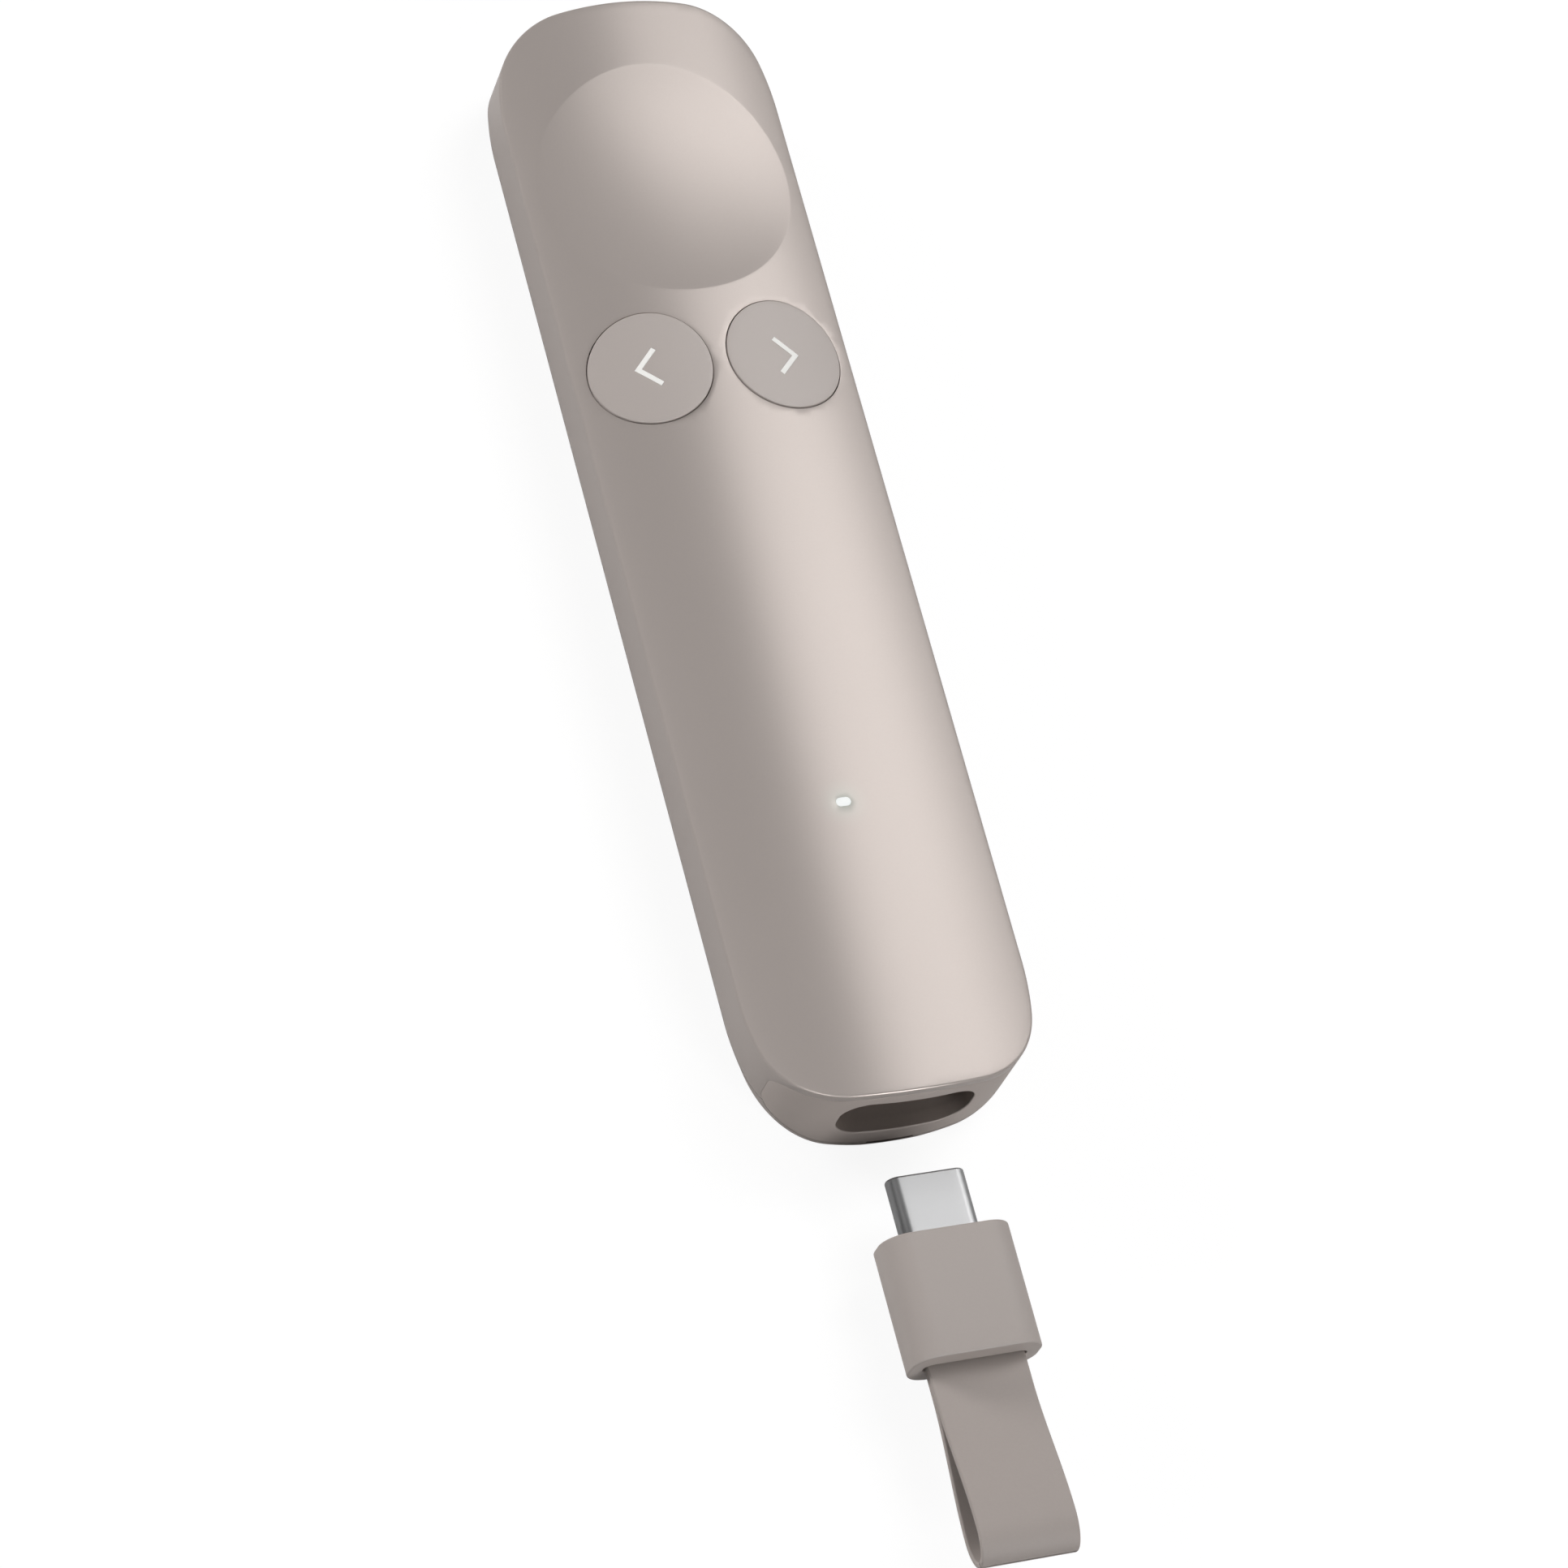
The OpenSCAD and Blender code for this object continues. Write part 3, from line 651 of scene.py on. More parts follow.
def grain_group() -> bpy.types.NodeTree:
    """Shared group: fine moulded grain as a height, and two slow variations as values."""
    outputs = {"Height": "Float", "Speckle": "Float", "Drift": "Float"}
    tree = new_tree("MouldedGrain", "ShaderNodeTree", {"Scale": "Float", "Drift Scale": "Float"}, outputs)
    g = Graph(tree)
    inp = g.node("NodeGroupInput").outputs
    where = g.node("ShaderNodeTexCoord").outputs["Object"]
    fine = g.node(
        "ShaderNodeTexNoise", {"Vector": where, "Scale": inp["Scale"], "Detail": 3.0, "Roughness": 0.65}
    ).outputs[0]
    pits = g.node("ShaderNodeTexVoronoi", {"Vector": where, "Scale": inp["Scale"]}).outputs["Distance"]
    drift = g.node(
        "ShaderNodeTexNoise", {"Vector": where, "Scale": inp["Drift Scale"], "Detail": 2.0}
    ).outputs[0]
    height = g.math("ADD", g.math("MULTIPLY", fine, 0.6), g.math("MULTIPLY", pits, 0.4))
    g.node("NodeGroupOutput", {"Height": height, "Speckle": fine, "Drift": drift})
    return tree


def glow_group() -> bpy.types.NodeTree:
    """Shared group: a mask that fades with the distance from a point."""
    tree = new_tree("GlowSpot", "ShaderNodeTree", {"Centre": "Vector", "Reach": "Float"}, {"Mask": "Float"})
    g = Graph(tree)
    inp = g.node("NodeGroupInput").outputs
    where = g.node("ShaderNodeTexCoord").outputs["Object"]
    away = g.node("ShaderNodeVectorMath", {0: where, 1: inp["Centre"]}, operation="DISTANCE").outputs["Value"]
    near = g.math("SUBTRACT", 1.0, g.math("DIVIDE", away, inp["Reach"]), clamp=True)
    g.node("NodeGroupOutput", {"Mask": g.math("POWER", near, 2.2)})
    return tree


@dataclass(frozen=True)
class Finish:
    """Finish of one material.

    Attributes:
        name: Name of the material, and of the record's slot unless slot names another.
        colour: Base colour, linear.
        roughness: Mean roughness.
        metallic: Metallic share.
        grain: Scale of the moulded grain per metre.
        relief: Depth of the grain, in metres.
        mottle: How much the colour varies.
        coat: Weight of a clear coat.
        specular: Level of the plain reflection.
        glow: Strength of the light that it gives off.
        slot: Slot of the record that it stands for, where that isn't its own name.
    """

    name: str
    colour: Colour
    roughness: float = 0.5
    metallic: float = 0.0
    grain: float = 3000.0
    relief: float = 4e-6
    mottle: float = 0.02
    coat: float = 0.0
    specular: float = 0.5
    glow: float = 0.0
    slot: str = ""

    def build(self, groups: dict[str, bpy.types.NodeTree]) -> bpy.types.Material:
        """Makes the material.

        Args:
            groups: The shared groups, by name.

        Returns:
            The material.
        """
        made = bpy.data.materials.get(self.name) or bpy.data.materials.new(self.name)
        made.use_nodes = True
        g = Graph(made.node_tree)
        grain = g.node("ShaderNodeGroup", node_tree=groups["grain"])
        grain.inputs["Scale"].default_value = self.grain
        grain.inputs["Drift Scale"].default_value = 60.0
        swing = g.math(
            "ADD",
            g.math("MULTIPLY", g.math("SUBTRACT", grain.outputs["Speckle"], 0.5), 1.2),
            g.math("MULTIPLY", g.math("SUBTRACT", grain.outputs["Drift"], 0.5), 0.8),
        )
        dark = tuple(c * (1 - self.mottle) for c in self.colour) + (1.0,)
        light = tuple(min(1.0, c * (1 + self.mottle)) for c in self.colour) + (1.0,)
        colour = g.mix(g.math("ADD", swing, 0.5, clamp=True), dark, light)
        rough = g.math("ADD", g.math("MULTIPLY", swing, 0.03), self.roughness, clamp=True)
        bump = g.node(
            "ShaderNodeBump", {"Height": grain.outputs["Height"], "Distance": self.relief, "Strength": 0.6}
        )
        shader = g.node(
            "ShaderNodeBsdfPrincipled",
            {"Base Color": colour, "Roughness": rough, "Metallic": self.metallic, "Normal": bump.outputs[0]},
        )
        shader.inputs["Coat Weight"].default_value = self.coat
        shader.inputs["Coat Roughness"].default_value = 0.3
        shader.inputs["Specular IOR Level"].default_value = self.specular
        self.light_up(g, shader, groups)
        g.node("ShaderNodeOutputMaterial", {"Surface": shader.outputs[0]})
        return made

    def light_up(self, g: Graph, shader: bpy.types.Node, groups: dict[str, bpy.types.NodeTree]) -> None:
        """Gives the material its own light, if it has any."""
        if self.glow:
            shader.inputs["Emission Color"].default_value = (*self.colour, 1.0)
            shader.inputs["Emission Strength"].default_value = self.glow


@dataclass(frozen=True)
class HaloFinish(Finish):
    """Finish of the shell, with the soft halo that the status light throws on it.

    Attributes:
        halo_at: Place of the light, in metres.
        halo_reach: Radius of the halo, in metres.
        halo: Brightness of the halo beside the light.
    """

    halo_at: tuple[float, float, float] = (0.0, -0.03165, 0.0136)
    halo_reach: float = 0.0034
    halo: float = 0.09

    def light_up(self, g: Graph, shader: bpy.types.Node, groups: dict[str, bpy.types.NodeTree]) -> None:
        """Adds the halo as light that fades from the status window outwards.

        Args:
            g: Graph of the material.
            shader: Its shader.
            groups: The shared groups, by name.
        """
        spot = g.node("ShaderNodeGroup", node_tree=groups["glow"])
        spot.inputs["Centre"].default_value = self.halo_at
        spot.inputs["Reach"].default_value = self.halo_reach
        level = (self.halo * 0.1, self.halo, self.halo * 0.8, 1.0)
        halo = g.mix(spot.outputs["Mask"], grey(0.0), level)
        g.tree.links.new(halo, shader.inputs["Emission Color"])
        shader.inputs["Emission Strength"].default_value = 1.0


SHELL = HaloFinish("shell_satin", (0.438, 0.390, 0.365), 0.32, 0.25, grain=4200, specular=0.1)
CAP = Finish("cap_satin", (0.475, 0.420, 0.391), 0.42, 0.1, grain=4200, specular=0.03)
BUTTON = Finish("button_matte", (0.465, 0.415, 0.389), 0.48, 0.05, grain=5200, relief=5e-6)
GRIP = Finish("grip_matte", (0.404, 0.358, 0.334), 0.55, grain=5200, relief=5e-6, slot=BUTTON.name)
MARK = Finish("pale_mark", (0.95, 0.94, 0.91), 0.6, mottle=0.01)
LIGHT = Finish("pale_light", (0.84, 0.86, 0.85), 0.35, mottle=0.01, glow=0.13)
# Liner: a dark brown that is in part its own colour and in part painted shade for the pocket's shadowed
# inside.
SHADED_LINER = Finish("dark_liner", (0.250, 0.205, 0.180), 0.75, grain=2600, mottle=0.05, specular=0.2)
STRAP = Finish(
    "strap_elastomer", (0.388, 0.342, 0.318), 0.65, grain=3600, relief=6e-6, mottle=0.03, specular=0.35
)
STEEL = Finish("bright_steel", (0.36, 0.36, 0.363), 0.44, 1.0, grain=1500, relief=1e-6)
SHADED_STEEL = Finish("shaded_steel", (0.075, 0.068, 0.062), 0.5, 0.6, slot=STEEL.name)
CONTACT = Finish("dark_contact", (0.02, 0.02, 0.021), 0.5, grain=2600, mottle=0.1)
FRAME = Finish("inner_frame", (0.025, 0.025, 0.026), 0.62, grain=2000, mottle=0.12)
BOARD = Finish("green_board", (0.012, 0.07, 0.03), 0.35, grain=900, mottle=0.3, coat=0.3)
FOIL = Finish("foil_wrap", (0.55, 0.56, 0.57), 0.42, 0.9, grain=500, relief=3e-5, mottle=0.05)
RIBBON = Finish("amber_ribbon", (0.30, 0.11, 0.012), 0.35, grain=1200, mottle=0.08, coat=0.4)
CERAMIC = Finish("pale_ceramic", (0.70, 0.68, 0.60), 0.3, grain=1800, mottle=0.04)
GOLD = Finish("contact_gold", (0.83, 0.60, 0.24), 0.3, 1.0, grain=2500, mottle=0.03, slot=STEEL.name)
FINISHES = (
    *(SHELL, CAP, BUTTON, GRIP, MARK, LIGHT, SHADED_LINER, STRAP, STEEL, SHADED_STEEL),
    *(CONTACT, FRAME, BOARD, FOIL, RIBBON, CERAMIC, GOLD),
)


class Wardrobe:
    """All the materials, made once, and what dresses the pieces in them."""

    def __init__(self) -> None:
        """Builds the shared groups and every finish."""
        groups = {"grain": grain_group(), "glow": glow_group()}
        self.made = {f.name: f.build(groups) for f in FINISHES}

    def dress_nodes(self, nodes: dict[str, bpy.types.Object], slots: dict[str, str]) -> None:
        """Gives every solid of the frame the material of its slot in the record.

        Args:
            nodes: The solids, by name.
            slots: Slot of each.
        """
        for name, obj in nodes.items():
            for place in obj.material_slots:
                place.material = self.made[slots[name]]
            if not obj.material_slots:
                obj.data.materials.append(self.made[slots[name]])

    def settle(self, obj: bpy.types.Object, body: Body, nodes: Sequence[str], *finishes: Finish) -> None:
        """Dresses a finished piece, puts it on its body and hides the solids it stands for.

        Args:
            obj: The piece. One that already has its material keeps it.
            body: Body that it rides on.
            nodes: Solids that it stands for.
            *finishes: Finish of each of its material slots.
        """
        if not obj.data.materials:
            for worn in finishes:
                obj.data.materials.append(self.made[worn.name])
        finish = finishes[0]
        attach(obj, body.value)
        if nodes:
            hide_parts(*nodes)
        finish.slot or finish.name
        LOG.info("%s: %d faces on %s", obj.name, len(obj.data.polygons), body.value)


@dataclass
class CapForm:
    """Outline of the end cap in the plane across the handset, in millimetres.

    Attributes:
        half: Half of its width.
        margin: Band of shell above it.
        lip: Band of the underside below it.
        corner_r: Radius of its corners.
        notch_w: Width of the slot under the pocket's mouth.
        notch_h: Height of that slot.
    """

    half: float = 13.6
    margin: float = 1.0
    lip: float = 0.6
    corner_r: float = 2.5
    notch_w: float = 5.0
    notch_h: float = 0.45

    def corner(self, form: HandsetForm, upper: bool, inset: float) -> Array:
        """Points of one right-hand corner, from the lower end of its arc to the upper one.

        Args:
            form: Form of the handset.
            upper: Whether it is the corner under the crown.
            inset: How far the outline is moved inwards.

        Returns:
            The points.
        """
        arc_r = form.crown_r - self.margin if upper else form.under_r - self.lip
        arc_z = form.top - form.crown_r if upper else form.under_z
        way = 1 if upper else -1
        x = self.half - self.corner_r
        lift = math.sqrt((arc_r - self.corner_r) ** 2 - x * x)
        turn = way * math.atan2(lift, x)
        a = np.linspace(min(0.0, turn), max(0.0, turn), 20)
        r = self.corner_r - inset
        return columns(x + r * np.cos(a), arc_z + way * lift + r * np.sin(a))

    def loop(self, form: HandsetForm, inset: float = 0.0, notched: bool = False) -> Array:
        """Anticlockwise outline seen from behind the handset, where +X is to the right.

        Args:
            form: Form of the handset.
            inset: How far the outline is moved inwards.
            notched: Whether the slot is cut into its lower edge.

        Returns:
            The points.
        """
        low, high = self.corner(form, False, inset), self.corner(form, True, inset)
        under_r = form.under_r - self.lip - inset
        xs = np.linspace(-low[0, 0], low[0, 0], ARC_STEPS)[1:-1]
        under = columns(xs, form.under_z - np.sqrt(under_r**2 - xs**2))
        if notched:
            e = self.notch_w / 2
            slot = columns(np.linspace(-e, e, 12), form.under_z - under_r + self.notch_h)
            foot = form.under_z - math.sqrt(under_r**2 - e * e)
            left, right = under[under[:, 0] < -e], under[under[:, 0] > e]
            under = np.vstack([left, [[-e, foot]], slot, [[e, foot]], right])
        xs = np.linspace(high[-1, 0], -high[-1, 0], ARC_STEPS)[1:-1]
        crown_r = form.crown_r - self.margin - inset
        over = columns(xs, form.top - form.crown_r + np.sqrt(crown_r**2 - xs**2))
        flip = np.array([[-1, 1]])
        return evened(np.vstack([low, high, over, (high * flip)[::-1], (low * flip)[::-1], under]), 0.6)


@dataclass
class HandsetShell:
    """Crowned upper shell and underside of the handset, in millimetres.

    Attributes:
        form: Outer form of the handset.
        outline: Outline of the handset seen from above.
        cap: Outline of the end cap.
        fillet: Radius of the rim between the crown and the side walls.
        foot_r: Radius of the rim between the underside and its low end walls.
        seam_roll: Rounding of the edges at the seams.
        seam_gap: Width of the seam between the shell and the underside.
        seam_depth: How far the seam's walls go in.
        seam_clear: How far the wall's own points keep from the end cap.
        cut_x: Half of the gap that the end cap leaves in the seam.
        end_reach: How far each end's low walls are looked for along the outline.
        hole_roll: Rounding of the button holes' edges.
        hole_depth: Depth of the button holes' walls.
        light_w: Width of the light window.
        light_d: Its breadth along the handset.
        light_gap: How much smaller than its hole it is.
        light_roll: Rounding of the hole's edge.
        dish_rings: Places of extra points across the dish's rim.
    """

    form: HandsetForm
    outline: Outline
    cap: CapForm
    fillet: float = 0.28
    foot_r: float = 0.3
    seam_roll: float = 0.03
    seam_gap: float = 0.03
    seam_depth: float = 0.9
    seam_clear: float = 0.15
    cut_x: float = 13.2
    end_reach: float = 35.0
    hole_roll: float = 0.04
    hole_depth: float = 3.0
    light_w: float = 1.6
    light_d: float = 1.0
    light_gap: float = 0.02
    light_roll: float = 0.015
    dish_rings: tuple[float, ...] = (-0.45, -0.2, -0.1, -0.04, 0, 0.04, 0.1, 0.2, 0.45)

    def rim_rings(
        self, s: Array, base_z: Array, top: Callable[[Array], Array], r: float, steps: int = 5
    ) -> list[Array]:
        """Rings that round the edge between the side wall and a crowned face.

        Args:
            s: Distances along the outline.
            base_z: Height at which the side wall ends.
            top: Height of the face.
            r: How far the rounding reaches onto the face.
            steps: Bands of the rounding.

        Returns:
            The rings, from the wall to the face.
        """
        x, y, nx, ny = self.outline.at(s)
        wall, corner = columns(x, y, base_z), columns(x, y, top(x))
        inner_x = x - nx * r
        face = columns(inner_x, y - ny * r, top(inner_x))
        out = []
        for k in range(steps + 1):
            t = k / steps
            out.append((1 - t) ** 2 * wall + 2 * t * (1 - t) * corner + t * t * face)
        return out

    def upper(self) -> bpy.types.Object:
        """Makes the upper shell with its dish, button holes, light window and side walls."""
        f, skin = self.form, Skin()
        s = self.outline.samples()[:-1]
        x, y, nx, ny = self.outline.at(s)
        rim_z = f.crown(x) - self.fillet
        edges = [Edge(columns(x - nx * self.fillet, y - ny * self.fillet))]
        for side in Side:
            hole = circle(side.value * f.button_x, f.button_y, f.button_hole_r)
            edges.append(Edge(hole[::-1], self.hole_roll, self.hole_depth))
        window = stadium(self.light_w, self.light_d, 10, 0.2) + [0, f.light_y]
        edges.append(Edge(window[::-1], self.light_roll, self.seam_depth))
        rings = [circle(0, f.dish_y, f.dish_r + d, 180) for d in self.dish_rings]
        skin.patch(lambda px, py, depth: columns(px, py, f.upper_face(px, py) - depth), edges, 0.8, rings)
        skin.loft(self.rim_rings(s, rim_z, f.crown, self.fillet)[::-1])
        self.wall_band(skin, s, rim_z)
        return skin.mesh("upper_shell_form")

    def wall_band(self, skin: Skin, s: Array, rim_z: Array) -> None:
        """Side wall from the seam to the rim, cut away round the end cap.

        Args:
            skin: Skin that it is added to.
            s: Distances along the outline.
            rim_z: Height of the wall's upper end at each.
        """
        end, z = self.outline.s[-1], self.form.seam
        loop = self.cap.loop(self.form)
        over = loop[loop[:, 1] > z]
        arch = self.outline.on_tail(over[np.argsort(-np.arctan2(over[:, 1] - z, over[:, 0]))])
        left, right = arch[0, 0], arch[-1, 0]
        before, after = s[s < left - self.seam_clear], s[s > right + self.seam_clear]
        low = np.vstack([columns(before, z), [[left, z]], arch, [[right, z]], columns(after, z), [[end, z]]])
        low = spaced(low, 0.02)
        bend = rolled(low, self.seam_roll, (0, 45, 90), closed=False)
        top = columns(np.append(s, end), np.append(rim_z, rim_z[0]))[::-1]
        skin.patch(self.outline.wall, [Edge(np.vstack([bend[0][0], top]))], 0.7)
        lines = [*bend, (low, self.seam_depth)]
        skin.loft([ring_at(self.outline.wall, line, depth) for line, depth in lines], closed=False)

    def lower(self) -> bpy.types.Object:
        """Makes the underside with its resting flat and the low end walls."""
        f, skin, r = self.form, Skin(), self.foot_r
        s = self.outline.samples()[:-1]
        x, y, nx, ny = self.outline.at(s)
        top_z = f.seam - self.seam_gap
        base_z = np.minimum(f.under(x) + r, top_z)
        outer = Edge(columns(x - nx * r, y - ny * r))
        lines = [columns(e * f.rest / 2, np.linspace(-60, 60, 80)) for e in (-1, 1)]
        skin.patch(
            lambda px, py, depth: columns(px, py, f.under(px) + depth), [outer], 1.0, lines, flip=True
        )
        skin.loft(self.rim_rings(s, base_z, f.under, r))
        self.end_walls(skin, s, base_z, top_z)
        cut = self.outline.tail_s(np.array([-self.cut_x, self.cut_x]))
        for part in (s[s < cut[0]], s[s > cut[1]]):
            seam = [self.outline.wall(part, top_z, depth) for depth in (0.0, self.seam_depth)]
            skin.loft(seam, closed=False, flip=True)
        return skin.mesh("bottom_cover_form")

    def end_walls(self, skin: Skin, s: Array, base_z: Array, top_z: float) -> None:
        """Low walls of the underside at both ends, with the end cap's cut in the tail.

        Args:
            skin: Skin that they are added to.
            s: Distances along the outline.
            base_z: Height of the walls' lower end at each.
            top_z: Height of their upper end.
        """
        loop = self.cap.loop(self.form)
        length = self.outline.s[-1]
        mid = self.outline.tail_s(np.array([0.0]))[0]
        for tail in (False, True):
            u = s if tail else np.where(s > mid, s - length, s)
            order = np.argsort(u)
            order = order[np.abs(u[order] - (mid if tail else 0.0)) < self.end_reach]
            tall = np.nonzero(base_z[order] < top_z - 1e-6)[0]
            order = order[tall[0] - 1 : tall[-1] + 2]
            low = columns(u[order], base_z[order])
            high = columns(low[1:-1, 0], top_z)[::-1]
            if tail:
                arch = self.outline.on_tail(loop[loop[:, 1] < top_z])
                arch = arch[np.argsort(arch[:, 0])][::-1]
                right, left = arch[0, 0], arch[-1, 0]
                before, after = high[high[:, 0] > right + 0.1], high[high[:, 0] < left - 0.1]
                high = spaced(np.vstack([before, [[right, top_z]], arch, [[left, top_z]], after]), 0.02)
            skin.patch(
                lambda ps, pz, depth: self.outline.wall(np.where(ps < 0, ps + length, ps), pz, depth),
                [Edge(np.vstack([low, high]))],
                0.7,
            )

    def window(self) -> bpy.types.Object:
        """Makes the light-guiding window, flush with the shell's face."""
        f, skin, gap = self.form, Skin(), self.light_gap
        loop = stadium(self.light_w - gap, self.light_d - gap, 10, 0.2) + [0, f.light_y]
        skin.patch(lambda px, py, depth: columns(px, py, f.crown(px) - depth), [Edge(loop, 0.02, 6.0)], 0.12)
        return skin.mesh("light_pipe_form")

    def build(self, wardrobe: Wardrobe) -> None:
        """Builds, dresses and settles every piece of the shell."""
        wardrobe.settle(self.upper(), Body.HANDSET, ["upper_shell"], SHELL)
        wardrobe.settle(self.lower(), Body.HANDSET, ["bottom_cover"], SHELL)
        wardrobe.settle(self.window(), Body.HANDSET, ["light_pipe"], LIGHT)


@dataclass
class TailPocket:
    """End cap with the pocket's mouth, and the liner behind it, whose dark brown is in part painted shade, in
    millimetres.

    Attributes:
        form: Outer form of the handset.
        outline: Outline of the handset seen from above.
        cap: Outline of the end cap.
        axis_z: Height of the pocket's middle.
        mouth_w: Width of the mouth.
        mouth_h: Height of the mouth.
        mouth_r: Corner radius of the mouth.
        mouth_roll: Rounding of the mouth's edge.
        mouth_depth: Depth of the mouth's wall in the cap.
        end_y: Place of the pocket's end.
        end_roll: Rounding of the pocket's end.
        socket_w: Width of the socket's shell.
        socket_h: Height of the socket's shell.
        socket_wall: Thickness of the socket's shell.
        gap: Width of the seam round the cap, and of its rounding.
        gap_depth: How far the seam's wall goes in.
    """

    form: HandsetForm
    outline: Outline
    cap: CapForm
    axis_z: float = 7.13
    mouth_w: float = 14.15
    mouth_h: float = 7.25
    mouth_r: float = 3.05
    mouth_roll: float = 0.14
    mouth_depth: float = 1.45
    end_y: float = -50.15
    end_roll: float = 0.35
    socket_w: float = 8.95
    socket_h: float = 3.1
    socket_wall: float = 0.25
    gap: float = 0.03
    gap_depth: float = 0.9

    def mouth(self, edge: float) -> Array:
        """Outline of the mouth, with points no farther apart than an edge."""
        return round_rect(self.mouth_w, self.mouth_h, self.mouth_r, 18, edge) + [0, self.axis_z]

    def oval(self, more: float, steps: int) -> Array:
        """Outline of the socket, with so much more width and height."""
        return stadium(self.socket_w + more, self.socket_h + more, steps, 0.6) + [0, self.axis_z]

    def place(self, ps: Array, pz: Array, depth: Array | float) -> Array:
        """Points of the tail's face, at a depth along the handset."""
        x, y, _, _ = self.outline.at(ps)
        return columns(x, y + depth, pz)

    def plate(self) -> bpy.types.Object:
        """Makes the end cap, which follows the curve of the tail."""
        skin = Skin()
        edge = self.outline.on_tail(self.cap.loop(self.form, self.gap, notched=True))
        hole = self.outline.on_tail(self.mouth(0.5))[::-1]
        # The mouth's wall in the cap takes the dark liner finish (slot 1): painted shade inside the mouth.
        edges = [Edge(edge, self.gap, self.gap_depth), Edge(hole, self.mouth_roll, self.mouth_depth, 1)]
        skin.patch(self.place, edges, 0.6)
        # A sheet in the dark liner finish sits just behind the slot under the mouth: painted shade for the
        # slot.
        slot = self.outline.on_tail(round_rect(self.cap.notch_w + 0.3, 0.9, 0.1, 4, 0.4) + [0, 0.75])
        skin.slot = 1
        skin.patch(lambda ps, pz, depth: self.place(ps, pz, depth + 0.1), [Edge(slot)], 0.4)
        return skin.mesh("end_cap_form")

    def liner(self) -> bpy.types.Object:
        """Makes the liner's inner walls and its closed end round the socket."""
        skin = Skin()
        mouth, r = self.mouth(0.8), self.end_roll
        walls = ((-61.95, -0.02), (-60.4, -0.01), (-58.0, 0.0), (-54.0, 0.0))
        bend = ((self.end_y - r, 0.0), (self.end_y - 0.3 * r, 0.3 * r), (self.end_y, r))
        skin.loft([ring_at(across(y), shifted(mouth, inset), 0.0) for y, inset in (*walls, *bend)])
        edges = [Edge(shifted(mouth, r)), Edge(self.oval(0.1, 16)[::-1], 0.05, 0.8)]
        skin.patch(across(self.end_y), edges, 0.7)
        return skin.mesh("dock_sleeve_form")

    def socket(self) -> bpy.types.Object:
        """Makes the socket's shell with a rolled mouth."""
        skin = Skin()
        outer, inner = self.oval(0.0, 18), self.oval(-2 * self.socket_wall, 18)
        skin.patch(across(self.end_y), [Edge(outer, 0.06, 7.2), Edge(inner[::-1], 0.08, 6.5)], 0.6)
        return skin.mesh("charging_socket_form")

    def build(self, wardrobe: Wardrobe) -> None:
        """Builds, dresses and settles the cap, the liner and the socket's shell."""
        wardrobe.settle(self.plate(), Body.HANDSET, ["end_cap"], CAP, SHADED_LINER)
        wardrobe.settle(self.liner(), Body.HANDSET, ["dock_sleeve"], SHADED_LINER)
        wardrobe.settle(self.socket(), Body.HANDSET, ["charging_socket"], SHADED_STEEL)


